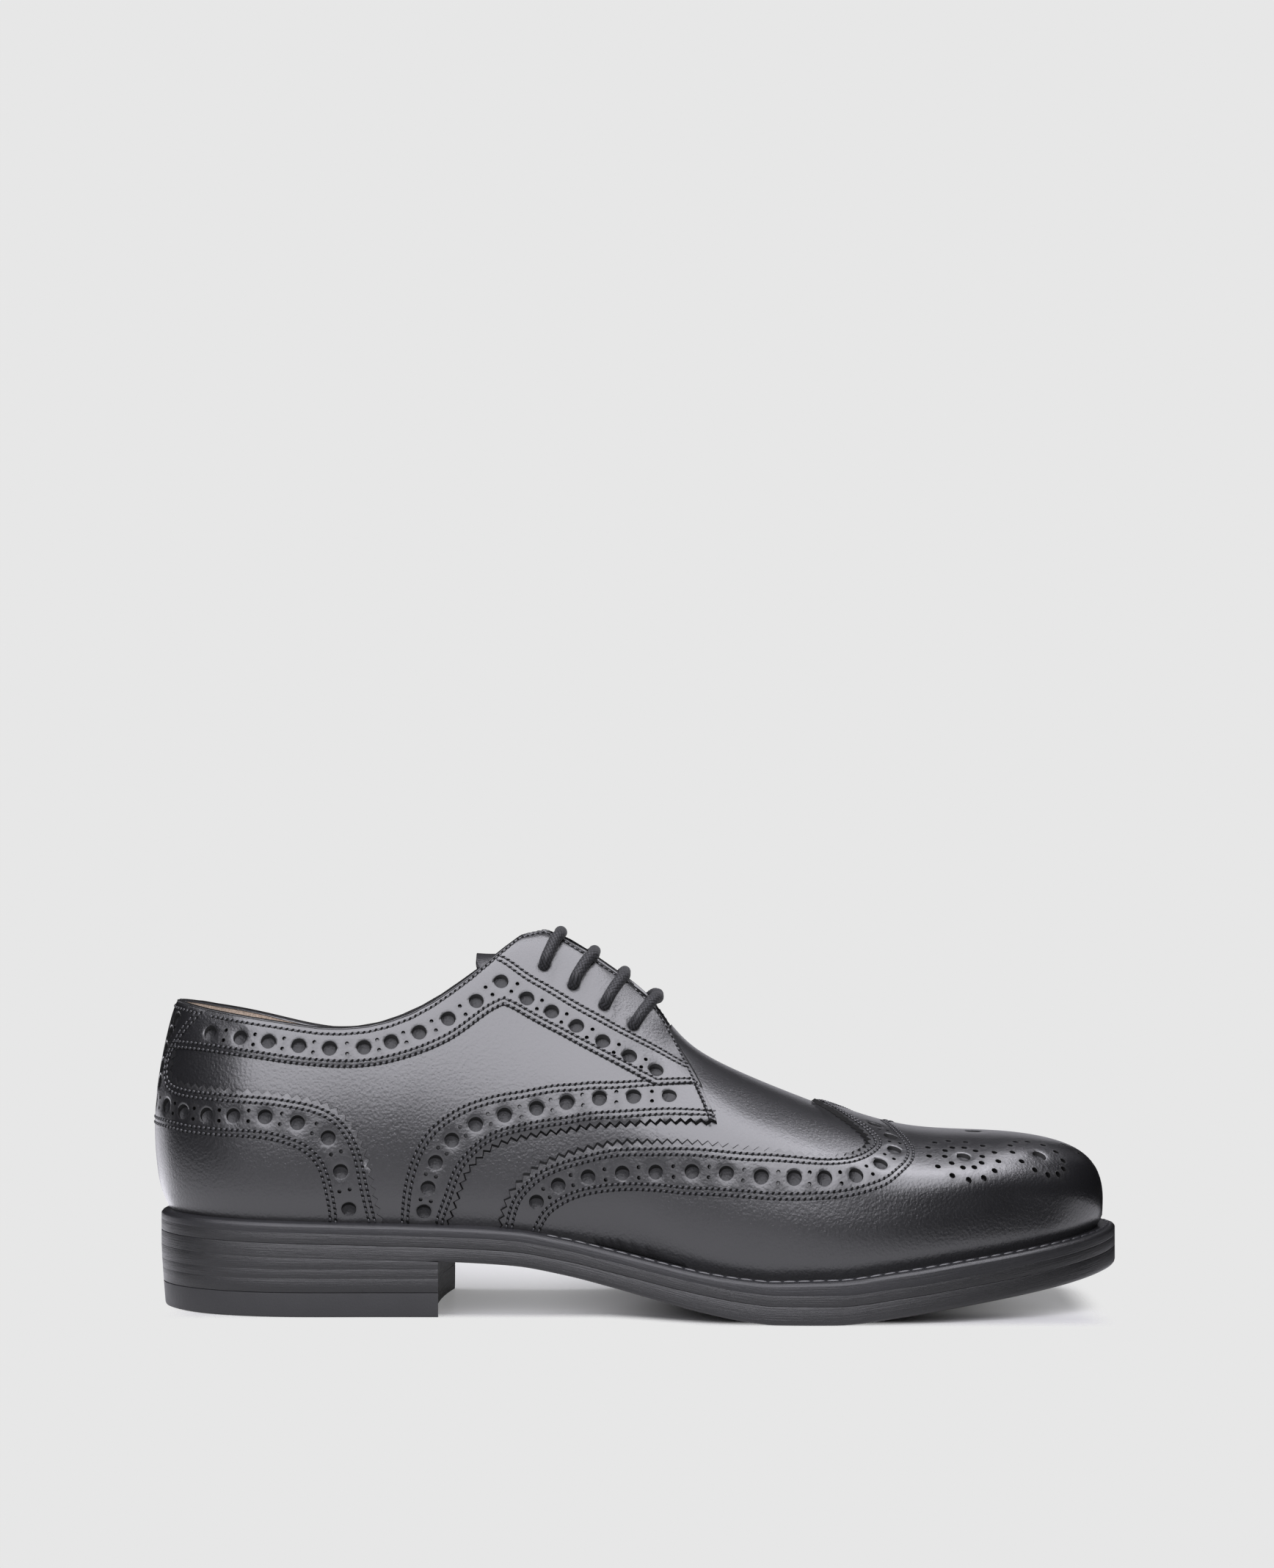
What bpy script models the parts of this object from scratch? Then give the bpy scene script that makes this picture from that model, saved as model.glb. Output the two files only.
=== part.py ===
"""Wingtip derby shoe for a right foot.

A hollow upper with the shape of its last stands on a welt, two leather sole layers and a stacked heel.
Wing cap, quarters, collar bands and heel counter are leather pieces laid on the upper.
+X runs to the toe, +Z up, and the outer (lateral) side of the foot faces -Y.
"""

import bmesh
import bpy
import numpy as np

# Every size below is in millimetres; meshes are written in metres.
MM = 0.001

# Leather and gaps
GAP = 0.3             # space between neighbouring pieces
WALL = 1.4            # upper with its lining
WING_LEATHER = 1.2
QUARTER_LEATHER = 1.0
COUNTER_LEATHER = 1.4
BAND_LEATHER = 0.7

# Sole and heel
WELT_THICK = 3.0
MIDSOLE_THICK = 3.0
EDGE_BEVEL = 1.2      # rounding of the outsole's lower edge
WELT_BEVEL = 0.9
RIB_SEAT = 1.6        # width of welt under the upper, inside its wall
INSOLE_PROUD = 1.0    # insole above the welt
TOP_LIFT = 7.6
HEEL_TAPER = 1.3      # how much smaller the heel is at the floor, on each side
BREAST_LATERAL = -60.9
BREAST_MEDIAL = -58.9
BREAST_BOW = -2.5
FLAT_SPOT = [4.7, 5.25]  # stations between which the forefoot stands level

# Throat, tongue and lace
THROAT_START = 6.9    # station on the ridge where the throat opens
TONGUE_THICK = 2.0
LACE_RADIUS = 1.65
FACING_GAP = 3.0      # half the space between the facings at the foot of the throat

FAIR_FROM = 7.3       # stations between which the ribs are averaged with their neighbours
FAIR_TO = 12.8
FAIR_RUN = 2.1
FAIR_WIDTH = 1.6

FOOT_SHARE = 0.014    # height share at which the pieces laid on the upper begin
ROWS = 8              # facets from feather line to ridge or collar
HEEL_BACK = 15        # last station; stations past it return along the medial side
LOOP = 2 * HEEL_BACK

# Stations of the last from toe tip to heel back. Feather line on both sides, width of welt outside it,
# top of the rib (ridge of the vamp, then just over the collar), outward flare at the feather line in degrees
# with the share of the rise it reaches, and the lean of the rib's top (90 lies level) with its reach.
# lat_x, lat_y, med_x, med_y, welt, top_x, mid_y, half, top_z, flare, low, lean, high
LAST = np.array([
    (144.8, 5.0, 144.8, 5.0, 6.5, 144.8, 5.0, 0.0, 24.4, 12.0, 0.55, 90.0, 0.55),
    (140.4, -10.8, 140.3, 20.7, 6.2, 145.8, 4.8, 0.0, 35.0, 12.3, 0.62, 90.0, 0.625),
    (126.7, -25.0, 126.5, 34.1, 6.0, 139.3, 4.5, 0.0, 46.2, 10.7, 0.72, 90.0, 0.715),
    (104.0, -36.5, 104.0, 43.0, 6.0, 117.0, 4.0, 0.0, 51.5, 10.0, 0.795, 90.0, 0.79),
    (78.0, -44.4, 78.0, 47.2, 6.2, 87.0, 3.0, 0.0, 53.4, 12.4, 0.8, 90.0, 0.8),
    (50.0, -47.0, 51.0, 46.0, 6.2, 57.0, 1.5, 0.0, 62.4, 13.9, 0.775, 90.0, 0.775),
    (25.0, -43.6, 27.0, 37.5, 5.6, 25.0, 0.5, 0.0, 76.1, 13.0, 0.725, 90.0, 0.72),
    (4.0, -38.4, 6.0, 30.8, 4.9, 9.5, 0.0, 0.0, 89.2, 11.8, 0.645, 90.0, 0.635),
    (-16.0, -34.5, -16.0, 26.8, 4.3, -8.0, 0.0, 0.0, 110.0, 10.5, 0.545, 90.0, 0.525),
    (-36.0, -32.8, -36.0, 27.2, 3.9, -27.0, 0.0, 0.0, 123.0, 9.0, 0.44, 84.0, 0.42),
    (-52.0, -32.5, -52.0, 28.4, 3.7, -44.0, 0.0, 16.0, 113.0, 8.0, 0.43, 45.0, 0.38),
    (-69.0, -32.7, -69.0, 29.5, 3.4, -62.0, -0.5, 23.8, 99.5, 8.0, 0.42, 24.0, 0.35),
    (-90.0, -33.0, -90.0, 30.0, 3.2, -88.0, -1.0, 27.6, 91.0, 8.0, 0.40, 16.0, 0.34),
    (-114.0, -32.0, -114.0, 29.4, 3.0, -114.5, -1.0, 24.8, 93.0, 9.0, 0.40, 16.0, 0.34),
    (-136.5, -21.8, -136.5, 19.4, 2.8, -135.0, -1.0, 13.6, 97.0, 12.0, 0.42, 15.0, 0.36),
    (-147.0, -1.2, -147.0, -1.2, 2.8, -143.2, -1.2, 0.0, 98.6, 13.5, 0.42, 13.0, 0.36),
])

# Fullness of the side walls at each station: amount, height of its middle and spread as shares of the rise
# amount, centre, spread
FULLNESS = np.array([
    (0.0, 0.6, 0.3), (0.7, 0.65, 0.26), (1.1, 0.7, 0.185), (1.7, 0.74, 0.13), (1.5, 0.72, 0.135),
    (2.25, 0.715, 0.15), (2.25, 0.69, 0.155), (2.15, 0.61, 0.17), (1.4, 0.525, 0.19), (0.6, 0.48, 0.2),
    (0.0, 0.48, 0.2), (0.0, 0.48, 0.2), (0.0, 0.48, 0.2), (0.0, 0.48, 0.2), (0.0, 0.48, 0.2), (0.0, 0.48, 0.2),
])

# Underside of the outsole along the foot and thickness of the whole sole above it
# x, bottom, thickness
SOLE = np.array([
    (-153.0, 19.4, 10.7),
    (-60.0, 17.1, 10.7),
    (-38.0, 15.9, 10.7),
    (-22.0, 13.2, 10.8),
    (-8.0, 9.9, 11.0),
    (8.0, 5.9, 11.4),
    (20.0, 3.1, 11.8),
    (32.0, 1.0, 12.0),
    (42.0, 0.0, 12.1),
    (60.0, 0.0, 12.1),
    (80.0, 2.0, 12.1),
    (100.0, 4.6, 12.1),
    (120.0, 7.3, 12.1),
    (135.0, 9.6, 12.1),
    (153.0, 12.8, 12.1),
])

# Pattern lines in side view, cut on down past the sole
FLOOR = -2.0
# x, z
WING_LINE = [
    (56.0, 70.0), (57.0, 63.4), (63.0, 61.0), (68.0, 57.8), (71.0, 55.0), (69.8, 53.0), (65.5, 51.3),
    (57.2, 50.7), (45.0, 52.0), (33.0, 53.2), (21.0, 54.3), (9.0, 54.5), (1.0, 54.1), (-7.4, 53.5), (-15.7, 51.9),
    (-24.0, 49.4), (-30.7, 46.3), (-36.6, 41.1), (-39.7, 36.2), (-41.1, 31.2), (-41.6, FLOOR),
]
QUARTER_LINE = [
    (10.5, 92.0), (13.4, 81.0), (17.6, 74.5), (22.6, 64.5), (24.3, 60.6), (17.6, 60.6), (5.4, 60.4), (-2.7, 59.7),
    (-14.6, 58.2), (-22.7, 57.3), (-33.9, 55.7), (-42.7, 53.4), (-47.9, 50.8), (-51.3, 47.8), (-53.5, 44.4),
    (-55.1, 40.0), (-56.2, 35.0), (-57.0, 30.8), (-57.4, FLOOR),
]
COUNTER_LINE = [
    (-78.6, FLOOR), (-79.0, 30.6), (-80.6, 38.9), (-82.4, 45.7), (-84.6, 53.6), (-88.4, 61.2), (-94.5, 65.5),
    (-103.0, 68.1), (-116.0, 69.0), (-130.0, 69.0), (-140.0, 68.8), (-144.2, 70.4), (-145.2, 73.6),
    (-143.4, 79.0), (-139.4, 86.0), (-135.6, 93.0), (-132.0, 104.0),
]
BAND_LINE = [
    (-139.4, 83.0), (-130.0, 82.0), (-116.5, 80.6), (-103.5, 78.9), (-90.0, 77.8), (-81.7, 78.1),
    (-73.0, 79.8), (-64.4, 83.2), (-56.0, 87.5), (-47.4, 92.9), (-41.8, 96.3), (-33.2, 91.8), (-24.0, 86.3),
    (-14.7, 81.3), (-5.4, 77.0), (1.5, 74.0), (8.0, 71.5),
]

# Edge of throat and collar, from the foot of the throat over the facing's top to the heel
TOP_LINE = [
    (13.5, 83.5), (10.0, 86.9), (6.2, 92.2), (2.5, 96.4), (-6.0, 103.1), (-16.0, 110.2), (-22.0, 113.7),
    (-27.5, 116.0), (-31.0, 116.6), (-35.0, 115.8), (-38.0, 114.0), (-42.0, 111.1), (-46.0, 107.9),
    (-52.0, 103.2), (-57.0, 99.7), (-63.0, 95.8), (-69.6, 92.4), (-76.4, 90.0), (-83.2, 88.5), (-91.0, 87.9),
    (-98.0, 88.1), (-105.0, 89.0), (-119.0, 91.0), (-134.0, 93.2), (-139.0, 94.2), (-145.0, 95.4), (-165.0, 97.0),
]
MEDIAL_DIP = 3.6      # how much lower the collar dips on the medial side
MEDIAL_DIP_X = -98.0
MEDIAL_DIP_RUN = 26.0

# Tongue: middle line from the throat's foot to the free end, half width, fall of its edges
# x, z, half, drop
TONGUE = [
    (18.0, 76.6, 9.0, 3.6),
    (12.0, 81.8, 10.5, 5.0),
    (6.0, 88.4, 11.0, 6.2),
    (-2.0, 96.2, 12.0, 7.6),
    (-12.0, 104.0, 13.2, 9.6),
    (-22.0, 109.8, 14.0, 11.0),
    (-32.0, 111.8, 15.0, 12.0),
    (-42.0, 110.2, 16.0, 11.0),
    (-50.5, 110.2, 15.0, 9.5),
]
TONGUE_SIDE = -1.5    # the tongue lies a little to the lateral side

# Lace bars: station on the ridge where the bar crosses, x and z of its eyelet in side view
# crossing, eyelet_x, eyelet_z
LACES = [
    (8.70, -28.5, 107.0),
    (8.19, -19.0, 100.8),
    (7.74, -9.5, 94.0),
    (7.28, -1.5, 87.5),
]


def spline(rows, at, closed=False):
    """Cubic curve through evenly spaced rows; a closed one runs on from its last row to its first."""
    rows = np.asarray(rows, float)
    count = len(rows)
    bend = np.zeros_like(rows)
    if closed:
        turn = np.roll(rows, -1, 0) - 2 * rows + np.roll(rows, 1, 0)
        system = 4 * np.eye(count) + np.roll(np.eye(count), 1, 0) + np.roll(np.eye(count), -1, 0)
        bend = np.linalg.solve(system, 6 * turn)
        at = np.mod(at, count)
    else:
        turn = rows[2:] - 2 * rows[1:-1] + rows[:-2]
        system = 4 * np.eye(count - 2) + np.eye(count - 2, k=1) + np.eye(count - 2, k=-1)
        bend[1:-1] = np.linalg.solve(system, 6 * turn)
        at = np.clip(at, 0, count - 1)
    base = np.minimum(np.floor(at).astype(int), count - 1 if closed else count - 2)
    ahead = (base + 1) % count
    u = (at - base)[..., None]
    v = 1 - u
    return v * rows[base] + u * rows[ahead] + ((v**3 - v) * bend[base] + (u**3 - u) * bend[ahead]) / 6


def level(knots, values, at):
    """Curve through the knots that never overshoots, so level stretches stay level."""
    step = np.diff(knots)
    slope = np.diff(values) / step
    inner = slope[1:] * slope[:-1]
    safe = np.where(inner > 0, slope[1:] + slope[:-1], 1)
    turn = np.concatenate([slope[:1], np.where(inner > 0, 2 * inner / safe, 0), slope[-1:]])
    at = np.clip(at, knots[0], knots[-1])
    i = np.clip(np.searchsorted(knots, at, side="right") - 1, 0, len(step) - 1)
    u = (at - knots[i]) / step[i]
    v = 1 - u
    return (
        values[i] * v * v * (1 + 2 * u)
        + values[i + 1] * u * u * (1 + 2 * v)
        + step[i] * u * v * (turn[i] * v - turn[i + 1] * u)
    )


def unit(vectors):
    return vectors / np.maximum(np.linalg.norm(vectors, axis=-1, keepdims=True), 1e-9)


def sole_bottom(x):
    return level(SOLE[:, 0], SOLE[:, 1], x)


def sole_top(x):
    return sole_bottom(x) + level(SOLE[:, 0], SOLE[:, 2], x)


# Closed rows of the feather line: out along the lateral side, back along the medial side
FEATHER = np.concatenate([LAST[:, 0:2], LAST[-2:0:-1, 2:4]])
# Rows that read the same on both sides, mirrored about the heel back
MIRRORED = np.concatenate([LAST[:, 4:], LAST[-2::-1, 4:]])


def feather(s):
    return spline(FEATHER, s, closed=True)


def outward(s):
    """Horizontal unit normal of the feather line, away from the foot."""
    along = feather(s + 0.02) - feather(s - 0.02)
    return unit(np.stack([-along[..., 1], along[..., 0]], -1))


def edge(s, inset=0.0):
    """Plan of the sole's edge, or a line the given inset inside it."""
    welt = spline(MIRRORED[:, 0:1], s)
    return feather(s) + (welt - inset) * outward(s)


def skin(s, t, lift=0.0):
    """Outside of the upper: rib number s from the feather line (t = 0) to ridge or collar (t = 1).

    Each rib is a cubic Bezier curve; lift moves the point along the surface's own normal."""
    s, t = np.broadcast_arrays(np.asarray(s, float), np.asarray(t, float))
    points = rib(s, t)
    if np.any(lift):
        d = 0.004
        near = np.clip(s, 0.06, LOOP - 0.06)
        low = np.clip(t, d, 1 - d)
        across = rib(near, low + d) - rib(near, low - d)
        along = rib(near + d, low) - rib(near - d, low)
        points = points + np.asarray(lift)[..., None] * unit(np.cross(across, along))
    return points


def rib(s, t):
    """Ribs of the last, averaged along the stations where the instep turns into the ankle."""
    row = HEEL_BACK - np.abs(HEEL_BACK - s)
    rise = np.clip((row - FAIR_FROM) / FAIR_RUN, 0, 1)
    fall = np.clip((FAIR_TO - row) / FAIR_RUN, 0, 1)
    width = FAIR_WIDTH * rise**2 * (3 - 2 * rise) * fall**2 * (3 - 2 * fall)
    points = bare_rib(s, t)
    near = width > 0
    if near.any():
        step = np.linspace(-1, 1, 9)
        share = np.exp(-((step / 0.6) ** 2) / 2)
        share /= share.sum()
        points[near] = sum(k * bare_rib(s[near] + d * width[near], t[near]) for k, d in zip(share, step))
    return points


def bare_rib(s, t):
    side = np.where(s <= HEEL_BACK, -1.0, 1.0)
    row = HEEL_BACK - np.abs(HEEL_BACK - s)
    top_x, mid_y, half, top_z, flare, low, lean, high = np.moveaxis(spline(MIRRORED[:, 1:], s), -1, 0)
    stations = np.arange(HEEL_BACK + 1.0)
    half = level(stations, LAST[:, 7], row)
    lean = np.radians(level(stations, LAST[:, 11], row))
    flare = np.radians(flare)
    plan = feather(s)
    out = outward(s)
    foot = np.concatenate([plan, (sole_top(plan[..., 0]) + GAP)[..., None]], -1)
    top = np.stack([top_x, mid_y + side * half, top_z], -1)
    rise = top[..., 2] - foot[..., 2]
    run = np.linalg.norm(top[..., :2] - plan, axis=-1)
    ridge = np.sin(lean) ** 2
    across = unit((1 - ridge)[..., None] * out + np.stack([0 * ridge, side * ridge], -1))
    up = low * rise
    foot_reach = np.concatenate([out * (up * np.sin(flare))[..., None], (up * np.cos(flare))[..., None]], -1)
    reach = high * (run * ridge + rise * (1 - ridge))
    top_reach = np.concatenate(
        [across * (reach * np.sin(lean))[..., None], -(reach * np.cos(lean))[..., None]], -1
    )
    t = t[..., None]
    v = 1 - t
    points = (
        foot * v**3
        + (foot + foot_reach) * 3 * v * v * t
        + (top + top_reach) * 3 * v * t * t
        + top * t**3
    )
    amount, centre, spread = (level(stations, FULLNESS[:, k], row) for k in range(3))
    share = (points[..., 2] - foot[..., 2]) / rise
    bulge = amount * np.exp(-(((share - centre) / spread) ** 2)) * (1 - np.clip(share, 0, 1) ** 6)
    points[..., :2] += bulge[..., None] * out
    return points


def under_top_line(points):
    """True where a point lies below the edge of throat and collar in side view."""
    line = np.array(TOP_LINE)[::-1]
    x, y, z = np.moveaxis(points, -1, 0)
    dip = MEDIAL_DIP * np.exp(-(((x - MEDIAL_DIP_X) / MEDIAL_DIP_RUN) ** 2)) * (y > 0)
    return z + dip < np.interp(x, line[:, 0], line[:, 1])


def top_share(s):
    """Where the upper ends on rib s: the ridge in front, then the edge of throat and collar."""
    s = np.asarray(s, float)
    row = HEEL_BACK - np.abs(HEEL_BACK - s)
    low = np.full(s.shape, 0.4)
    high = np.ones(s.shape)
    for _ in range(24):
        middle = (low + high) / 2
        inside = under_top_line(skin(s, middle))
        low = np.where(inside, middle, low)
        high = np.where(inside, high, middle)
    return np.where(row <= THROAT_START, 1.0, low)


def stations():
    """Rib numbers of one side, closer together round toe and heel."""
    toe = [0.14, 0.4, 0.7, 1.0, 1.35, 1.7, 2.0, 2.35, 2.7, 3.0, 3.35, 3.7]
    middle = np.arange(4.0, 12.6, 0.5)
    throat = [THROAT_START, 7.25, 7.75]
    heel = [13.0, 13.35, 13.7, 14.0, 14.25, 14.5, 14.75]
    return np.sort(np.concatenate([toe, middle[middle != 7.0], throat, heel]))


def new_object(name, verts, faces, color, roughness):
    """One closed mesh object, faces turned outward, with a material of its own."""
    mesh = bpy.data.meshes.new(name)
    bm = bmesh.new()
    made = [bm.verts.new(tuple(v * MM)) for v in np.asarray(verts)]
    for face in faces:
        corners = [made[i] for i in dict.fromkeys(face)]
        if len(corners) > 2:
            bm.faces.new(corners)
    loose = [v for v in bm.verts if not v.link_faces]
    bmesh.ops.delete(bm, geom=loose, context="VERTS")
    bmesh.ops.recalc_face_normals(bm, faces=bm.faces)
    bm.to_mesh(mesh)
    bm.free()
    obj = bpy.data.objects.new(name, mesh)
    bpy.context.scene.collection.objects.link(obj)
    material = bpy.data.materials.new(name)
    material.use_nodes = True
    surface = material.node_tree.nodes["Principled BSDF"]
    surface.inputs["Base Color"].default_value = (*color, 1.0)
    surface.inputs["Roughness"].default_value = roughness
    mesh.materials.append(material)
    return obj


def upper_form(lift_in, lift_out, rows, foot=0.0):
    """Closed shell between two offsets of the skin: a sleeve round the foot, joined on the vamp's ridge.

    It starts at height share foot, so that a lifted piece stays clear of the welt."""
    one = stations()
    s = np.concatenate([one, [HEEL_BACK], LOOP - one[::-1]])
    columns = len(s)
    share = np.linspace(foot, 1, rows + 1)
    t = top_share(s)[:, None] * share[None, :]
    grid = np.stack([skin(s[:, None], t, np.full(t.shape, lift)) for lift in (lift_in, lift_out)])
    grid[..., 2] = np.maximum(grid[..., 2], sole_top(grid[..., 0]) + GAP)
    closed = (s <= THROAT_START + 1e-6) | (s >= LOOP - THROAT_START - 1e-6)
    mirror = columns - 1 - np.arange(columns)
    grid[:, closed, -1] = (grid[:, closed, -1] + grid[:, mirror[closed], -1]) / 2
    number = np.arange(grid[..., 0].size).reshape(grid.shape[:3])
    back_half = closed & (s > HEEL_BACK)
    number[:, back_half, -1] = number[:, mirror[back_half], -1]
    faces = []
    for i in range(columns):
        k = (i + 1) % columns
        for j in range(rows):
            for layer in (0, 1):
                n = number[layer]
                faces.append((n[i, j], n[k, j], n[k, j + 1]))
                faces.append((n[i, j], n[k, j + 1], n[i, j + 1]))
        faces.append((number[0, i, 0], number[0, k, 0], number[1, k, 0], number[1, i, 0]))
        if not (closed[i] and closed[k]):
            faces.append((number[0, i, -1], number[0, k, -1], number[1, k, -1], number[1, i, -1]))
    return grid.reshape(-1, 3), faces


def prism(name, outline, y_from, y_to):
    """Hidden cutter: a side-view outline carried across the foot."""
    outline = np.asarray(outline, float)
    count = len(outline)
    ends = [np.column_stack([outline[:, 0], np.full(count, y), outline[:, 1]]) for y in (y_from, y_to)]
    ring = [(i, (i + 1) % count, (i + 1) % count + count, i + count) for i in range(count)]
    caps = [tuple(range(count)), tuple(range(count, 2 * count))]
    cutter = new_object(name, np.concatenate(ends), ring + caps, (0.5, 0.5, 0.5), 0.5)
    cutter.hide_render = True
    cutter.display_type = "WIRE"
    return cutter


def overlay(name, outline, y_from, y_to, lift_in, lift_out, color, roughness, rows):
    """Leather piece: the upper's own form between two offsets, cut to a pattern."""
    verts, faces = upper_form(lift_in, lift_out, rows, FOOT_SHARE)
    piece = new_object(name, verts, faces, color, roughness)
    cut = piece.modifiers.new("pattern", "BOOLEAN")
    cut.operation = "INTERSECT"
    cut.solver = "EXACT"
    cut.object = prism("cut_" + name, outline, y_from, y_to)
    return piece


def shifted(line, distance):
    """The same pattern line moved sideways, to its left as it is walked."""
    line = np.asarray(line, float)
    along = unit(np.gradient(line, axis=0))
    return line + distance * np.column_stack([-along[:, 1], along[:, 0]])


def layered(name, lateral, medial, levels, color, roughness, bow=0.0, across=2):
    """Closed block between stacked outlines, rows of (inset from the sole's edge, height) from low to high.

    Each outline is taken at matching lateral and medial stations, which rows across the foot join."""
    share = np.linspace(0, 1, across + 1)
    rows = len(lateral)
    sheets = []
    for inset, height in levels:
        left = edge(lateral, inset(lateral) if callable(inset) else inset)
        right = edge(medial, inset(medial) if callable(inset) else inset)
        plan = left[:, None] * (1 - share)[None, :, None] + right[:, None] * share[None, :, None]
        plan[0, :, 0] += bow * (1 - (2 * share - 1) ** 2)
        sheets.append(np.dstack([plan, height(plan[..., 0])]))
    grid = np.stack(sheets)
    number = np.arange(grid[..., 0].size).reshape(grid.shape[:3])
    rim = [(0, j) for j in range(across)] + [(i, across) for i in range(rows - 1)]
    rim += [(rows - 1, j) for j in range(across, 0, -1)] + [(i, 0) for i in range(rows - 1, 0, -1)]
    faces = []
    for n in (number[0], number[-1]):
        for i in range(rows - 1):
            for j in range(across):
                faces.append((n[i, j], n[i + 1, j], n[i + 1, j + 1], n[i, j + 1]))
    for low, high in zip(number[:-1], number[1:]):
        for here, there in zip(rim, rim[1:] + rim[:1]):
            faces.append((low[here], low[there], high[there], high[here]))
    return new_object(name, grid.reshape(-1, 3), faces, color, roughness)


def ring(name, profile, color, roughness):
    """Profile carried round the feather line: rows of (distance outside the sole's edge inward, height)."""
    one = stations()
    s = np.concatenate([[0.0], one, [HEEL_BACK], LOOP - one[::-1]])
    loops = []
    for inset, height in profile:
        plan = edge(s, inset(s))
        loops.append(np.column_stack([plan, height(plan[:, 0])]))
    grid = np.stack(loops)
    count = len(s)
    sides = len(profile)
    number = np.arange(sides * count).reshape(sides, count)
    faces = []
    for i in range(count):
        k = (i + 1) % count
        for j in range(sides):
            m = (j + 1) % sides
            faces.append((number[j, i], number[j, k], number[m, k], number[m, i]))
    return new_object(name, grid.reshape(-1, 3), faces, color, roughness)


def station_at(x, side):
    """Station where the sole's edge passes the given x on one side of the waist."""
    s = np.linspace(8, 12, 401)
    reach = edge(s if side < 0 else LOOP - s)[:, 0]
    found = np.interp(-x, -reach, s)
    return found if side < 0 else LOOP - found


def sheet(name, top, thick, color, roughness):
    """Closed sheet under a grid of points: the grid moved down its own normals gives the other face."""
    along = np.gradient(top, axis=0)
    across = np.gradient(top, axis=1)
    grid = np.stack([top, top - thick * unit(np.cross(across, along))])
    rows, columns = top.shape[:2]
    number = np.arange(grid[..., 0].size).reshape(grid.shape[:3])
    faces = []
    for n in number:
        for i in range(rows - 1):
            for j in range(columns - 1):
                faces.append((n[i, j], n[i + 1, j], n[i + 1, j + 1], n[i, j + 1]))
    rim = [(0, j) for j in range(columns - 1)] + [(i, columns - 1) for i in range(rows - 1)]
    rim += [(rows - 1, j) for j in range(columns - 1, 0, -1)] + [(i, 0) for i in range(rows - 1, 0, -1)]
    for here, there in zip(rim, rim[1:] + rim[:1]):
        faces.append((number[0][here], number[0][there], number[1][there], number[1][here]))
    return new_object(name, grid.reshape(-1, 3), faces, color, roughness)


def tongue():
    """Arched sheet under the throat, one arch for each row of its table."""
    x, z, half, drop = np.array(TONGUE).T[..., None]
    u = np.linspace(-1, 1, 11)
    arches = np.dstack([x + 0 * u, TONGUE_SIDE + half * u, z - drop * np.abs(u) ** 1.8])
    return sheet("tongue", arches, TONGUE_THICK, (0.02, 0.02, 0.02), 0.6)


def locate(x, z):
    """Station and height share of the lateral skin point seen at x, z from the side."""
    s = np.linspace(5, 12, 281)
    t = np.linspace(0.02, 0.98, 193)
    points = skin(s[:, None], t[None, :])
    miss = (points[..., 0] - x) ** 2 + (points[..., 2] - z) ** 2
    i, j = np.unravel_index(np.argmin(miss), miss.shape)
    return s[i], t[j]


def lace_bar(number, crossing, eyelet_x, eyelet_z):
    """Round lace from eyelet to eyelet: along each facing to the throat, then over the gap."""
    s_eye, t_eye = locate(eyelet_x, eyelet_z)
    t_edge = top_share(np.array([crossing]))[0]
    share = np.linspace(0, 1, 7)
    s = s_eye + (crossing - s_eye) * share
    t = t_eye + (t_edge - t_eye) * share
    lift = np.full(7, GAP + QUARTER_LEATHER + GAP + BAND_LEATHER + GAP + LACE_RADIUS + 0.35)
    lateral = skin(s, t, lift)
    medial = skin(LOOP - s, t, lift)
    middle = (lateral[-1] + medial[-1]) / 2 + np.array([0, 0, 0.6])
    path = np.concatenate([lateral, middle[None], medial[::-1]])
    along = unit(np.gradient(path, axis=0))
    aside = unit(np.cross(along, [1.0, 0.0, 0.6]))
    over = np.cross(along, aside)
    angle = np.linspace(0, 2 * np.pi, 8, endpoint=False)
    tube = path[:, None] + LACE_RADIUS * (
        np.cos(angle)[None, :, None] * aside[:, None] + np.sin(angle)[None, :, None] * over[:, None]
    )
    count = len(path)
    n = np.arange(count * 8).reshape(count, 8)
    faces = [(n[i, j], n[i + 1, j], n[i + 1, (j + 1) % 8], n[i, (j + 1) % 8])
             for i in range(count - 1) for j in range(8)]
    faces += [tuple(n[0]), tuple(n[-1])]
    return new_object(f"lace_bar_{number}", tube.reshape(-1, 3), faces, (0.025, 0.025, 0.03), 0.7)


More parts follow.
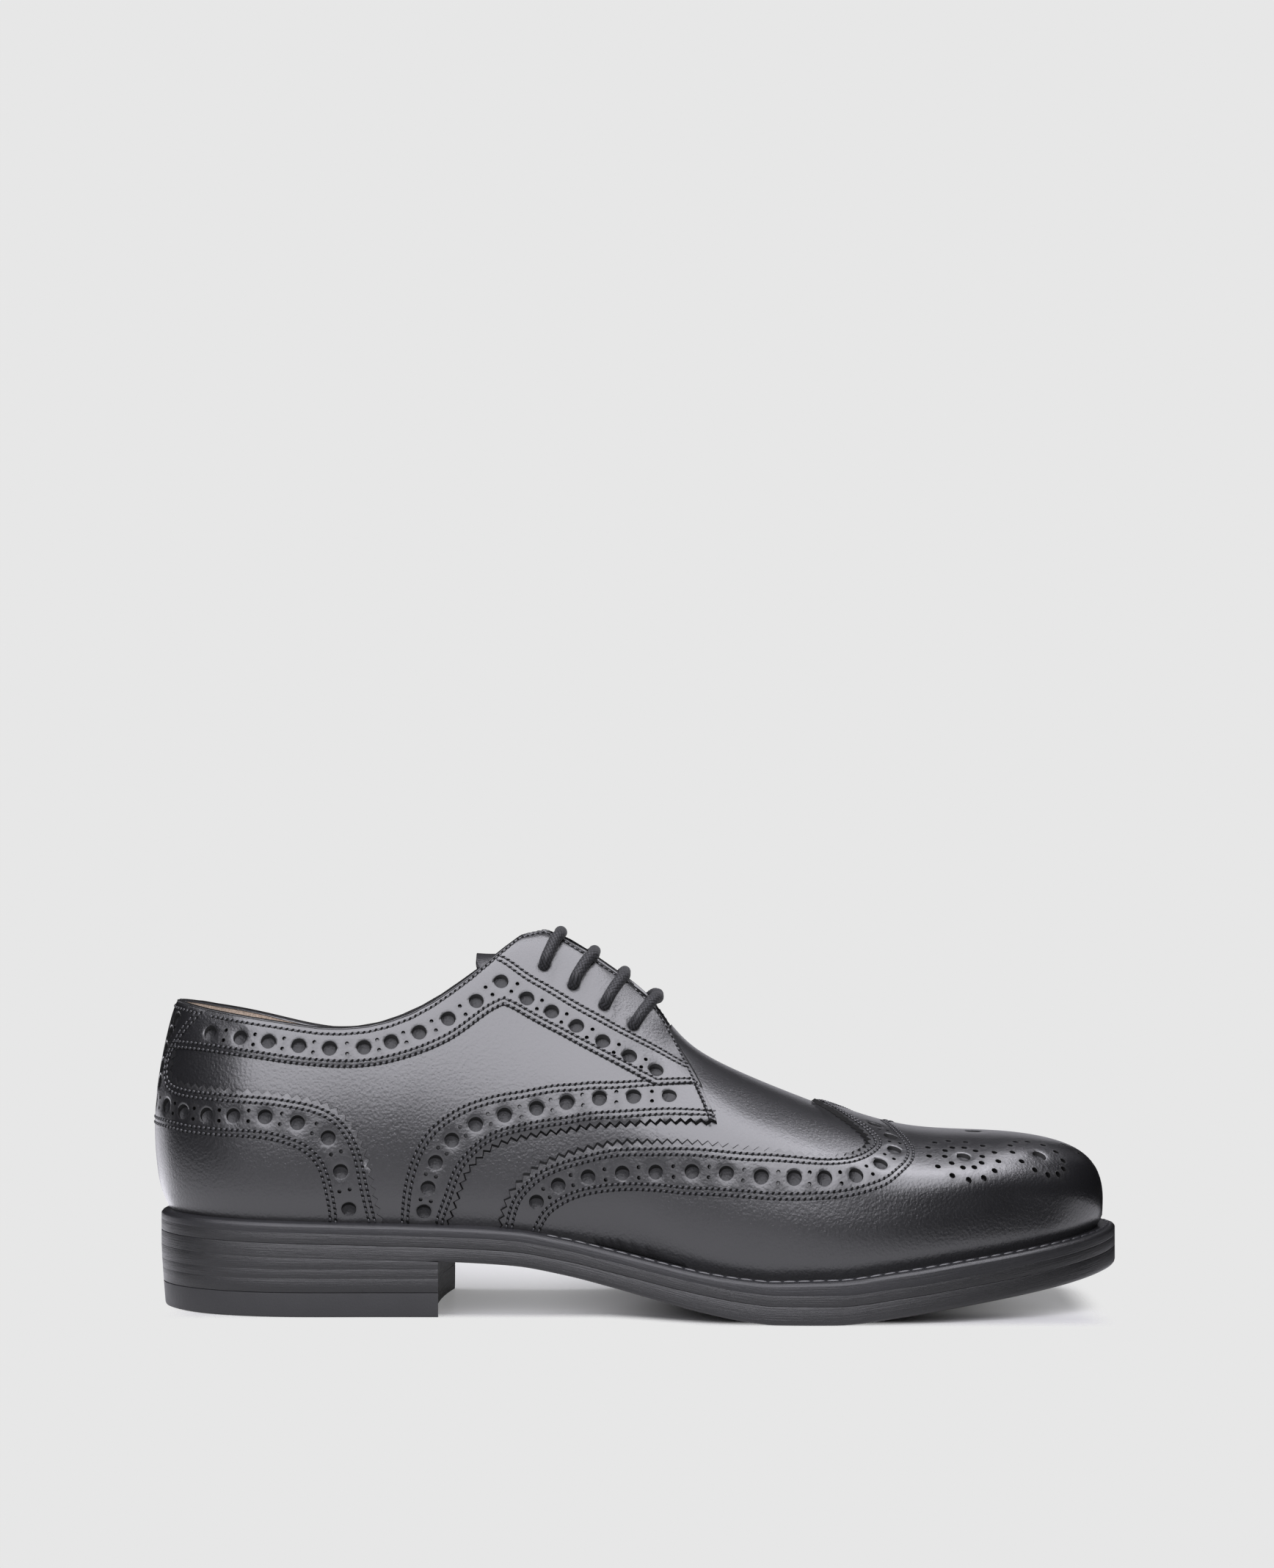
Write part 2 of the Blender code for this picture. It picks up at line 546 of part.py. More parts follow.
def build_sole():
    one = stations()
    lateral = one
    medial = LOOP - one
    edge_color = (0.02, 0.02, 0.022)
    ground = np.sort(np.append(one, FLAT_SPOT))
    layered("outsole", ground, LOOP - ground, [
        (EDGE_BEVEL, sole_bottom),
        (0.0, lambda x: sole_bottom(x) + EDGE_BEVEL),
        (0.0, lambda x: sole_top(x) - WELT_THICK - MIDSOLE_THICK - 2 * GAP),
    ], edge_color, 0.5)
    layered("midsole", lateral, medial, [
        (0.3, lambda x: sole_top(x) - WELT_THICK - MIDSOLE_THICK - GAP),
        (0.3, lambda x: sole_top(x) - WELT_THICK - GAP),
    ], edge_color, 0.5)

    def flush(s):
        return np.zeros((len(s), 1))

    def inner(s):
        return spline(MIRRORED[:, 0:1], s) + WALL + RIB_SEAT

    ring("welt", [
        (flush, lambda x: sole_top(x) - WELT_THICK),
        (flush, lambda x: sole_top(x) - WELT_BEVEL),
        (lambda s: flush(s) + WELT_BEVEL, sole_top),
        (inner, sole_top),
        (inner, lambda x: sole_top(x) - WELT_THICK),
    ], (0.03, 0.03, 0.032), 0.45)

    layered("insole", lateral, medial, [
        (lambda s: inner(s) + GAP, lambda x: sole_top(x) - WELT_THICK),
        (lambda s: inner(s) + GAP, lambda x: sole_top(x) + INSOLE_PROUD),
    ], (0.30, 0.18, 0.10), 0.6)

    rear = one[one > station_at(BREAST_LATERAL, -1) + 0.15]
    back_lateral = np.concatenate([[station_at(BREAST_LATERAL, -1)], rear])
    back_medial = np.concatenate([[station_at(BREAST_MEDIAL, 1)], LOOP - rear])
    foot = SOLE[1, 1] - TOP_LIFT
    taper = HEEL_TAPER * TOP_LIFT / (TOP_LIFT + foot)
    layered("heel_stack", back_lateral, back_medial, [
        (HEEL_TAPER - taper + 0.3, lambda x: 0 * x + TOP_LIFT + GAP),
        (0.3, lambda x: sole_bottom(x) - GAP),
    ], (0.02, 0.02, 0.02), 0.5, BREAST_BOW, 6)
    layered("top_lift", back_lateral, back_medial, [
        (HEEL_TAPER + 0.5, lambda x: 0 * x),
        (HEEL_TAPER, lambda x: 0 * x + 0.6),
        (HEEL_TAPER - taper, lambda x: 0 * x + TOP_LIFT),
    ], (0.015, 0.015, 0.015), 0.7, BREAST_BOW, 6)


def build_upper():
    black = (0.018, 0.018, 0.02)
    verts, faces = upper_form(-WALL, 0.0, ROWS)
    new_object("upper", verts, faces, black, 0.35)
    top = 130.0
    wing = WING_LINE + [(170.0, FLOOR), (170.0, 70.0)]
    overlay("wing_cap", wing, -80, 80, GAP, GAP + WING_LEATHER, black, 0.35, ROWS)
    counter = COUNTER_LINE + [(-170.0, 104.0), (-170.0, FLOOR)]
    overlay("heel_counter", counter, -60, 60, GAP, GAP + COUNTER_LEATHER, black, 0.35, ROWS)
    seam = shifted(COUNTER_LINE, -GAP)
    quarter = [tuple(p) for p in seam] + [(-100.0, top), (-10.0, top)] + QUARTER_LINE
    band = [tuple(p) for p in seam if p[1] > 80] + [(-100.0, top), (-10.0, top)]
    band += QUARTER_LINE[:3] + BAND_LINE[::-1]
    for side, near, far in (("lateral", -90, -FACING_GAP), ("medial", FACING_GAP, 90)):
        lift = GAP + QUARTER_LEATHER
        overlay("quarter_" + side, quarter, near, far, GAP, lift, black, 0.35, ROWS)
        lift += GAP
        overlay("collar_band_" + side, band, near, far, lift, lift + BAND_LEATHER, black, 0.35, ROWS)


def main():
    for obj in list(bpy.data.objects):
        bpy.data.objects.remove(obj, do_unlink=True)
    build_sole()
    build_upper()
    tongue()
    for number, row in enumerate(LACES, start=1):
        lace_bar(number, *row)


main()
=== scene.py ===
"""Looks of a wingtip derby shoe for a right foot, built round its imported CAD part.

Lengths in the tables are millimetres. +X runs to the toe, +Z up, and the outer side of the foot faces -Y.
A place on the upper is a pair (station, height): stations count from the toe tip (0) along the outer side to
the heel back (15) and return along the inner side to 30; height runs from the feather line (0) to the ridge
of the vamp or the collar (1)."""

import math

import bmesh
import bpy
import numpy as np
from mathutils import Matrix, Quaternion, Vector
from mathutils.geometry import delaunay_2d_cdt


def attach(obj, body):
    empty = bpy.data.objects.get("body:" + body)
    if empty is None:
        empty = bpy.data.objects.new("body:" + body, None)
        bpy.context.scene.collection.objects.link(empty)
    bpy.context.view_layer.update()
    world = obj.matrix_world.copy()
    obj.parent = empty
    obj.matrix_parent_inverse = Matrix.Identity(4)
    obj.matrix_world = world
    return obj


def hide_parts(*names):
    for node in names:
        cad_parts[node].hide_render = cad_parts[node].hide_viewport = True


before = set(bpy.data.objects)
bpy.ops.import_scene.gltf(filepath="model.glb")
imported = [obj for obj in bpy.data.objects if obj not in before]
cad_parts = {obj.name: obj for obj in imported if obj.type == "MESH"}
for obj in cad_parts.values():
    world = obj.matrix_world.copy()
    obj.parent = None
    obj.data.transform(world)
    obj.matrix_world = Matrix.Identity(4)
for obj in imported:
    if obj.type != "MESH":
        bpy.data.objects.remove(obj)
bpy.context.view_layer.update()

bl_info = {
    "name": "Wingtip derby shoe",
    "version": (1, 0, 0),
    "blender": (4, 5, 0),
    "location": "View3D > Sidebar > Shoe",
    "description": "Dresses the packed shoe with punched leather, stitches, welt, heel and laces",
    "category": "Object",
}

MM = 0.001
BODY = "root"
HEEL_BACK = 15
LOOP = 2 * HEEL_BACK
STATION = 22          # rough way between two stations
THROAT_START = 6.9    # station on the ridge where the throat opens
FACING_START = 7.62   # station where the facing leaves the edge of the throat
FAIR_FROM, FAIR_TO, FAIR_RUN, FAIR_WIDTH = 7.3, 12.8, 2.1, 1.6
GAP = 0.3             # between the CAD layers
SEAT = 0.05           # clearance of laid pieces over the welt

# Lifts of the layers over the upper's skin, low and high
WALL = 1.4
WING_LIFT = (0.1, 1.5)
QUARTER_LIFT = (0.1, 1.3)
BAND_LIFT = (1.0, 1.6)
COUNTER_LIFT = (0.2, 1.7)
# Layers thin out to the collar by a share, over a run
SKIVE, SKIVE_RUN = 0.45, 3.5
# The foot of the upper tucks in over the welt: depth and run, then what rear and waist add
TUCK, TUCK_REAR, TUCK_WAIST = (0.9, 2.6), (0.4, 1.6), (1.3, 4.0)

# Sole and heel
WELT_THICK = 3.0
MIDSOLE_THICK = 3.0
HEEL_SOLE = 10.7      # thickness of the whole sole over the heel
TOP_LIFT = 7.6
HEEL_TAPER = 1.3
HEEL_SEAMS = (12.0, 14.9)
BREAST_LATERAL, BREAST_MEDIAL, BREAST_BOW = -60.9, -58.9, -2.5
FLAT_SPOT = [4.7, 5.25]   # stations between which the forefoot stands level

# Punched holes: loops with more sides than LARGE are large ones
HOLE_SIDES, EYELET_SIDES, DISH_SIDES, TOE_SIDES, PIN_SIDES, LARGE = 20, 14, 14, 10, 8, 12
EYELET = 1.5
OUTLINE_SLOPE, HOLE_SLOPE, PIN_SLOPE = 0.62, -0.26, -0.1   # spread of a cut edge from upper to lower face
HOLE_DROP = 0.16      # how far the rim of a large hole is pressed down
HOLE_SLANT = 0.85     # the punch goes in at a slant
HOLE_COLLAR = 1.33    # ring of points round a large hole
HOLE_REACH = 8        # no hole is further across
# Floor of a large hole: rings of (share of the radius, rise)
DISH = [(0.34, 0.04), (0.76, 0.32), (1.12, 0.85), (1.12, -0.12)]

# Stitches: half width and height, then length, half width and height of a needle hole and of a welt stitch
STITCH = (0.40, 0.30)
NEEDLE = (1.35, 0.44, 0.12)
WELT_STITCH = (3.9, 0.5, 0.36)
WELT_PITCH = 4.4
EDGE_ROWS = (1.8, 3.5)    # stitch rows inside a gimped edge
PAIR_ROWS = (0.85, -0.85)  # stitch rows on either side of a seam
COLLAR_ROW = 1.9
COLLAR_CLEAR = 1.3    # no stitch is nearer to the collar

# lat_x, lat_y, med_x, med_y, welt, top_x, mid_y, half, top_z, flare, low, lean, high
LAST = np.array([
    (144.8, 5.0, 144.8, 5.0, 6.5, 144.8, 5.0, 0.0, 24.4, 12.0, 0.55, 90.0, 0.55),
    (140.4, -10.8, 140.3, 20.7, 6.2, 145.8, 4.8, 0.0, 35.0, 12.3, 0.62, 90.0, 0.625),
    (126.7, -25.0, 126.5, 34.1, 6.0, 139.3, 4.5, 0.0, 46.2, 10.7, 0.72, 90.0, 0.715),
    (104.0, -36.5, 104.0, 43.0, 6.0, 117.0, 4.0, 0.0, 51.5, 10.0, 0.795, 90.0, 0.79),
    (78.0, -44.4, 78.0, 47.2, 6.2, 87.0, 3.0, 0.0, 53.4, 12.4, 0.8, 90.0, 0.8),
    (50.0, -47.0, 51.0, 46.0, 6.2, 57.0, 1.5, 0.0, 62.4, 13.9, 0.775, 90.0, 0.775),
    (25.0, -43.6, 27.0, 37.5, 5.6, 25.0, 0.5, 0.0, 76.1, 13.0, 0.725, 90.0, 0.72),
    (4.0, -38.4, 6.0, 30.8, 4.9, 9.5, 0.0, 0.0, 89.2, 11.8, 0.645, 90.0, 0.635),
    (-16.0, -34.5, -16.0, 26.8, 4.3, -8.0, 0.0, 0.0, 110.0, 10.5, 0.545, 90.0, 0.525),
    (-36.0, -32.8, -36.0, 27.2, 3.9, -27.0, 0.0, 0.0, 123.0, 9.0, 0.44, 84.0, 0.42),
    (-52.0, -32.5, -52.0, 28.4, 3.7, -44.0, 0.0, 16.0, 113.0, 8.0, 0.43, 45.0, 0.38),
    (-69.0, -32.7, -69.0, 29.5, 3.4, -62.0, -0.5, 23.8, 99.5, 8.0, 0.42, 24.0, 0.35),
    (-90.0, -33.0, -90.0, 30.0, 3.2, -88.0, -1.0, 27.6, 91.0, 8.0, 0.40, 16.0, 0.34),
    (-114.0, -32.0, -114.0, 29.4, 3.0, -114.5, -1.0, 24.8, 93.0, 9.0, 0.40, 16.0, 0.34),
    (-136.5, -21.8, -136.5, 19.4, 2.8, -135.0, -1.0, 13.6, 97.0, 12.0, 0.42, 15.0, 0.36),
    (-147.0, -1.2, -147.0, -1.2, 2.8, -143.2, -1.2, 0.0, 98.6, 13.5, 0.42, 13.0, 0.36),
])
# Fullness of the side walls at each station: amount, height of its middle and spread as shares of the rise
FULLNESS = np.array([
    (0.0, 0.6, 0.3), (0.7, 0.65, 0.26), (1.1, 0.7, 0.185), (1.7, 0.74, 0.13), (1.5, 0.72, 0.135),
    (2.25, 0.715, 0.15), (2.25, 0.69, 0.155), (2.15, 0.61, 0.17), (1.4, 0.525, 0.19), (0.6, 0.48, 0.2),
    *[(0.0, 0.48, 0.2)] * 6,
])
# x, bottom, thickness
SOLE = np.array([
    (-153.0, 19.4, 10.7), (-60.0, 17.1, 10.7), (-38.0, 15.9, 10.7), (-22.0, 13.2, 10.8), (-8.0, 9.9, 11.0),
    (8.0, 5.9, 11.4), (20.0, 3.1, 11.8), (32.0, 1.0, 12.0), (42.0, 0.0, 12.1), (60.0, 0.0, 12.1),
    (80.0, 2.0, 12.1), (100.0, 4.6, 12.1), (120.0, 7.3, 12.1), (135.0, 9.6, 12.1), (153.0, 12.8, 12.1),
])
# The welt stands a little prouder round the forefoot: x, rise
WELT_RISE = np.array([(20, 0.0), (51, 0.9), (73, 1.4), (97, 1.4), (130, 1.0), (147, 0.4)])
# Edge of throat and collar in side view: x, z
TOP_LINE = np.array([
    (13.5, 83.5), (10.0, 86.9), (6.2, 92.2), (2.5, 96.4), (-6.0, 103.1), (-16.0, 110.2), (-22.0, 113.7),
    (-27.5, 116.0), (-31.0, 116.6), (-35.0, 115.8), (-38.0, 114.0), (-42.0, 111.1), (-46.0, 107.9),
    (-52.0, 103.2), (-57.0, 99.7), (-63.0, 95.8), (-69.6, 92.4), (-76.4, 90.0), (-83.2, 88.5), (-91.0, 87.9),
    (-98.0, 88.1), (-105.0, 89.0), (-119.0, 91.0), (-134.0, 93.2), (-139.0, 94.2), (-145.0, 95.4), (-165.0, 97.0),
])
MEDIAL_DIP = (3.6, -98.0, 26.0)   # depth, x and run of the lower collar on the inner side
# x, z, half, drop
TONGUE = np.array([
    (18.0, 76.6, 9.0, 3.6), (12.0, 81.8, 10.5, 5.0), (6.0, 88.4, 11.0, 6.2), (-2.0, 96.2, 12.0, 7.6),
    (-12.0, 104.0, 13.2, 9.6), (-22.0, 109.8, 14.0, 11.0), (-32.0, 111.8, 15.0, 12.0), (-42.0, 110.2, 16.0, 10.0),
    (-50.5, 110.2, 15.0, 6.5),
])
TONGUE_SIDE = -1.5
TONGUE_THICK = 2.0

# Pattern lines of the outer side as (station, height)
WING_EDGE = [
    (9.41, 0.000), (9.30, 0.069), (9.11, 0.118), (8.78, 0.158), (8.42, 0.183), (8.00, 0.213), (7.59, 0.252),
    (7.16, 0.292), (6.72, 0.330), (6.29, 0.363), (5.92, 0.389), (5.61, 0.414), (5.35, 0.441), (5.09, 0.464),
    (4.84, 0.491), (4.64, 0.534), (4.52, 0.594), (4.47, 0.653), (4.50, 0.703), (4.59, 0.765), (4.75, 0.846),
    (4.90, 0.930), (5.04, 1.000),
]
WING_HOLES = [
    (8.76, 0.078), (8.40, 0.121), (7.94, 0.153), (7.41, 0.191), (6.88, 0.229), (6.32, 0.266), (5.86, 0.294),
    (5.47, 0.319), (5.14, 0.348), (4.85, 0.375), (4.55, 0.418), (4.32, 0.505), (4.20, 0.625), (4.26, 0.758),
    (4.44, 0.865),
]
WING_LOW = [
    (8.80, 0.000), (8.67, 0.037), (8.52, 0.065), (8.26, 0.094), (7.98, 0.117), (7.55, 0.147), (7.13, 0.173),
    (6.70, 0.193), (6.30, 0.208), (5.61, 0.244), (5.14, 0.273), (4.72, 0.315), (4.45, 0.359), (4.25, 0.406),
    (4.13, 0.466), (4.05, 0.526), (4.02, 0.587), (4.04, 0.661), (4.12, 0.758), (4.22, 0.880), (4.31, 1.000),
]
QUARTER_EDGE = [
    (5.99, 0.479), (6.30, 0.446), (6.74, 0.403), (7.18, 0.353), (7.61, 0.306), (8.03, 0.271), (8.43, 0.248),
    (9.00, 0.239), (9.52, 0.226), (9.84, 0.195), (10.05, 0.152), (10.17, 0.091), (10.29, 0.031), (10.33, 0.000),
]
QUARTER_UP = [
    (6.35, 0.618), (6.83, 0.538), (7.27, 0.464), (7.68, 0.405), (8.06, 0.369), (8.35, 0.352), (8.82, 0.345),
    (9.35, 0.348), (9.84, 0.353), (10.22, 0.351), (10.57, 0.329), (10.80, 0.281), (10.94, 0.209), (11.02, 0.118),
    (11.06, 0.000),
]
QUARTER_HOLES = [
    (6.74, 0.492), (7.32, 0.414), (7.84, 0.353), (8.34, 0.316), (8.85, 0.303), (9.42, 0.300), (9.93, 0.294),
    (10.33, 0.266), (10.58, 0.205), (10.68, 0.123), (10.74, 0.045),
]
COUNTER_EDGE = [
    (11.44, 0.000), (11.51, 0.075), (11.61, 0.181), (11.71, 0.293), (11.89, 0.420), (12.11, 0.516), (12.37, 0.570),
    (12.71, 0.588), (13.03, 0.587), (13.37, 0.579), (13.76, 0.572), (14.08, 0.573), (14.28, 0.585), (14.37, 0.610),
    (14.40, 0.650), (14.37, 0.692), (14.28, 0.740), (14.17, 0.794), (14.04, 0.846), (13.91, 0.901), (13.83, 0.947),
]
COUNTER_HOLES = [
    (14.84, 0.462), (14.39, 0.455), (14.05, 0.440), (13.69, 0.441), (13.34, 0.455), (12.96, 0.468), (12.58, 0.455),
    (12.21, 0.387), (12.04, 0.227), (11.92, 0.059),
]
STRAP_HOLES = [(14.72, 0.560), (14.74, 0.640), (14.72, 0.720), (14.64, 0.800), (14.52, 0.870)]
COUNTER_LOW = [
    (15.00, 0.375), (14.30, 0.372), (13.95, 0.366), (13.55, 0.370), (13.20, 0.378), (12.87, 0.377), (12.54, 0.343),
    (12.34, 0.280), (12.23, 0.192), (12.15, 0.066), (12.14, 0.000),
]
BAND_HOLES = [
    (13.73, 0.840), (13.29, 0.843), (12.94, 0.848), (12.58, 0.848), (12.23, 0.843), (11.84, 0.823), (11.50, 0.802),
    (11.10, 0.774), (10.66, 0.753), (10.22, 0.750), (9.82, 0.768),
]
STAY_HOLES = [(9.29, 0.640), (8.79, 0.562), (8.33, 0.518), (7.91, 0.510), (7.49, 0.525), (7.04, 0.552)]
BAND_LOW = [
    (14.40, 0.752), (13.99, 0.762), (13.53, 0.768), (13.04, 0.770), (12.71, 0.769), (12.38, 0.768), (12.07, 0.757),
    (11.74, 0.735), (11.36, 0.708), (10.93, 0.677), (10.50, 0.666), (10.05, 0.677), (9.72, 0.671),
]
STAY_LOW = [
    (9.72, 0.671), (9.20, 0.579), (8.70, 0.510), (8.25, 0.478), (7.85, 0.476), (7.45, 0.490), (7.02, 0.509),
]
STAY_END = [(7.02, 0.509), (6.70, 0.560), (6.40, 0.610)]       # cut edge from the stay to the facing
STAY_CROSS = [(7.02, 0.507), (6.70, 0.559), (6.37, 0.614)]     # seam beside that edge
STAY_UP = [
    (9.95, 0.921), (9.50, 0.767), (9.02, 0.663), (8.56, 0.592), (8.15, 0.570), (7.78, 0.579), (7.41, 0.606),
    (7.00, 0.643), (6.51, 0.675),
]
FACING = [
    (7.62, 0.840), (7.40, 0.835), (7.17, 0.823), (6.80, 0.780), (6.42, 0.692), (6.14, 0.570), (5.99, 0.479),
]
EYELETS = [(9.07, 0.745), (8.49, 0.641), (7.98, 0.621), (7.53, 0.636)]
CROSSINGS = [8.87, 8.27, 7.81, 7.33]
# Medallion lobes: station, height, then (radius, pinholes) of its rings
LOBES = [(3.45, 0.598, ((6.0, 10), (11.0, 13))), (2.59, 0.651, ((8.6, 12),))]
TOE_PINHOLES = [(2.30, 0.928), (2.02, 0.851), (1.74, 0.894), (1.53, 0.931)]
TOE_HOLE = (3.36, 1.0)
# Soft troughs and swells of the leather: station, height, run along stations, run along heights, depth
CREASES = [
    (8.80, 0.689, 0.10, 0.050, -0.45), (8.25, 0.637, 0.10, 0.050, -0.30), (7.78, 0.628, 0.10, 0.060, -0.25),
    (13.55, 0.900, 0.16, 0.030, -0.30), (13.20, 0.915, 0.10, 0.025, 0.25), (5.60, 0.652, 0.25, 0.090, -0.25),
    (21.20, 0.689, 0.10, 0.050, -0.40), (21.75, 0.637, 0.10, 0.050, -0.25),
    (7.25, 0.800, 0.35, 0.100, 0.90), (22.75, 0.800, 0.35, 0.100, 0.90),
]

# Lamps in metres and watts: name, place, aim, size, power, roll in degrees
LAMPS = [
    ("key", (-0.12, -0.477, 0.939), (-0.02, 0.0, 0.06), (1.75, 2.6), 50.0, 0),
    ("strip", (0.209, 0.074, 0.335), (0.01, -0.025, 0.09), (0.054, 0.276), 0.15, 56),
    ("floor_glow", (-0.15, 0.0, -0.03), (-0.15, 0.0, 1.0), (0.8, 0.9), 1.38, 0),
    ("back_fill", (0.0, 0.75, 0.9), (0.0, 0.0, 0.06), (1.8, 1.2), 0.5, 0),
    ("back_wall", (0.1, 0.9, -0.06), (0.1, 0.0, -0.06), (0.4, 0.57), 0.43, 0),
    ("back_floor", (-1.05, 0.9, -0.17), (-1.05, 0.0, -0.17), (1.9, 0.38), 1.4, 0),
    ("left_wall", (-0.95, 0.8, -0.19), (-0.14, 0.0, 0.03), (0.8, 0.38), 0.75, 0),
    ("right_floor", (0.9, 0.35, -0.3), (0.12, 0.0, 0.03), (1.0, 0.35), 0.66, 0),
]
LAMP_COLOUR = (0.965, 0.955, 1.03)
EYE = (0.0, -1.165, 0.1635)
VIEW_ANGLE = 24.0     # of the camera, from bottom to top
FLOOR_HALF = 700


def spline(rows, at, closed=False):
    """Cubic curve through evenly spaced rows, from their second differences; a closed one runs on round."""
    rows = np.asarray(rows, float)
    count = len(rows)
    bend = np.zeros_like(rows)
    if closed:
        turn = np.roll(rows, -1, 0) - 2 * rows + np.roll(rows, 1, 0)
        system = 4 * np.eye(count) + np.roll(np.eye(count), 1, 0) + np.roll(np.eye(count), -1, 0)
        bend = np.linalg.solve(system, 6 * turn)
        at = np.mod(at, count)
    else:
        turn = rows[2:] - 2 * rows[1:-1] + rows[:-2]
        system = 4 * np.eye(count - 2) + np.eye(count - 2, k=1) + np.eye(count - 2, k=-1)
        bend[1:-1] = np.linalg.solve(system, 6 * turn)
        at = np.clip(at, 0, count - 1)
    base = np.minimum(np.floor(at).astype(int), count - 1 if closed else count - 2)
    ahead = (base + 1) % count
    u = (at - base)[..., None]
    v = 1 - u
    return v * rows[base] + u * rows[ahead] + ((v**3 - v) * bend[base] + (u**3 - u) * bend[ahead]) / 6


def level(knots, values, at):
    """Curve through the knots that never overshoots: Hermite arcs with harmonic mean slopes."""
    step = np.diff(knots)
    slope = np.diff(values) / step
    inner = slope[1:] * slope[:-1]
    safe = np.where(inner > 0, slope[1:] + slope[:-1], 1)
    turn = np.concatenate([slope[:1], np.where(inner > 0, 2 * inner / safe, 0), slope[-1:]])
    at = np.clip(at, knots[0], knots[-1])
    i = np.clip(np.searchsorted(knots, at, side="right") - 1, 0, len(step) - 1)
    u = (at - knots[i]) / step[i]
    v = 1 - u
    return (
        values[i] * v * v * (1 + 2 * u)
        + values[i + 1] * u * u * (1 + 2 * v)
        + step[i] * u * v * (turn[i] * v - turn[i + 1] * u)
    )


def unit(vectors):
    return vectors / np.maximum(np.linalg.norm(vectors, axis=-1, keepdims=True), 1e-9)


def walked(points):
    """Way along a row of points from its first one."""
    return np.concatenate([[0], np.cumsum(np.linalg.norm(np.diff(points, axis=0), axis=-1))])


def picked(at, way, rows):
    """Rows read off at places along their way."""
    return np.stack([np.interp(at, way, column) for column in rows.T], -1)


def numbered(grid):
    """Vertex numbers of a grid of points."""
    return np.arange(grid[..., 0].size).reshape(grid.shape[:-1])


def row_of(s):
    """Station counted from the toe on its own side."""
    return np.minimum(s, LOOP - s)


def bell(x):
    return np.exp(-(x**2))


def sole_bottom(x):
    return level(SOLE[:, 0], SOLE[:, 1], x)


def sole_top(x):
    return sole_bottom(x) + level(SOLE[:, 0], SOLE[:, 2], x)


def welt_rise(x):
    return np.interp(x, *WELT_RISE.T)


FEATHER = np.concatenate([LAST[:, 0:2], LAST[-2:0:-1, 2:4]])
MIRRORED = np.concatenate([LAST[:, 4:], LAST[-2::-1, 4:]])


def feather(s):
    return spline(FEATHER, s, closed=True)


def outward(s):
    """Horizontal unit normal of the feather line, away from the foot."""
    along = feather(s + 0.02) - feather(s - 0.02)
    return unit(np.stack([-along[..., 1], along[..., 0]], -1))


def welt_width(s):
    return spline(MIRRORED[:, 0:1], s)[..., 0]


def edge(s, inset=0.0):
    """Plan of the sole's edge, or a line the given inset inside it."""
    return feather(s) + (welt_width(s) - inset)[..., None] * outward(s)


def rib(s, t):
    """Ribs of the last, averaged along the stations where the instep turns into the ankle."""
    s, t = np.broadcast_arrays(np.asarray(s, float), np.asarray(t, float))
    row = row_of(s)
    rise = np.clip((row - FAIR_FROM) / FAIR_RUN, 0, 1)
    fall = np.clip((FAIR_TO - row) / FAIR_RUN, 0, 1)
    width = FAIR_WIDTH * rise**2 * (3 - 2 * rise) * fall**2 * (3 - 2 * fall)
    points = bare_rib(s, t)
    near = width > 0
    if near.any():
        step = np.linspace(-1, 1, 9)
        share = np.exp(-((step / 0.6) ** 2) / 2)
        share /= share.sum()
        points[near] = sum(k * bare_rib(s[near] + d * width[near], t[near]) for k, d in zip(share, step))
    return points


def bare_rib(s, t):
    """Rib of the last: a cubic Bezier curve from the feather line, flaring out, to ridge or collar, leaning in."""
    side = np.where(s <= HEEL_BACK, -1.0, 1.0)
    row = row_of(s)
    top_x, mid_y, _, top_z, flare, low, _, high = np.moveaxis(spline(MIRRORED[:, 1:], s), -1, 0)
    stations = np.arange(HEEL_BACK + 1.0)
    half = level(stations, LAST[:, 7], row)
    lean = np.radians(level(stations, LAST[:, 11], row))
    flare = np.radians(flare)
    plan = feather(s)
    out = outward(s)
    foot = np.concatenate([plan, (sole_top(plan[..., 0]) + GAP)[..., None]], -1)
    top = np.stack([top_x, mid_y + side * half, top_z], -1)
    rise = top[..., 2] - foot[..., 2]
    run = np.linalg.norm(top[..., :2] - plan, axis=-1)
    ridge = np.sin(lean) ** 2
    across = unit((1 - ridge)[..., None] * out + np.stack([0 * ridge, side * ridge], -1))
    up = low * rise
    reach = high * (run * ridge + rise * (1 - ridge))
    foot_reach = np.concatenate([out * (up * np.sin(flare))[..., None], (up * np.cos(flare))[..., None]], -1)
    top_reach = np.concatenate([across * (reach * np.sin(lean))[..., None], -(reach * np.cos(lean))[..., None]], -1)
    t = t[..., None]
    v = 1 - t
    points = (
        foot * v**3
        + (foot + foot_reach) * 3 * v * v * t
        + (top + top_reach) * 3 * v * t * t
        + top * t**3
    )
    amount, centre, spread = (level(stations, column, row) for column in FULLNESS.T)
    share = (points[..., 2] - foot[..., 2]) / rise
    bulge = amount * bell((share - centre) / spread) * (1 - np.clip(share, 0, 1) ** 6)
    points[..., :2] += bulge[..., None] * out
    return points


def slopes(s, t):
    """Derivatives of the rib surface along stations and along heights, by central differences."""
    d = 0.004
    near = np.clip(s, 0.06, LOOP - 0.06)
    low = np.clip(t, d, 1 - d)
    along = (rib(near + d, low) - rib(near - d, low)) / (2 * d)
    across = (rib(near, low + d) - rib(near, low - d)) / (2 * d)
    return along, across


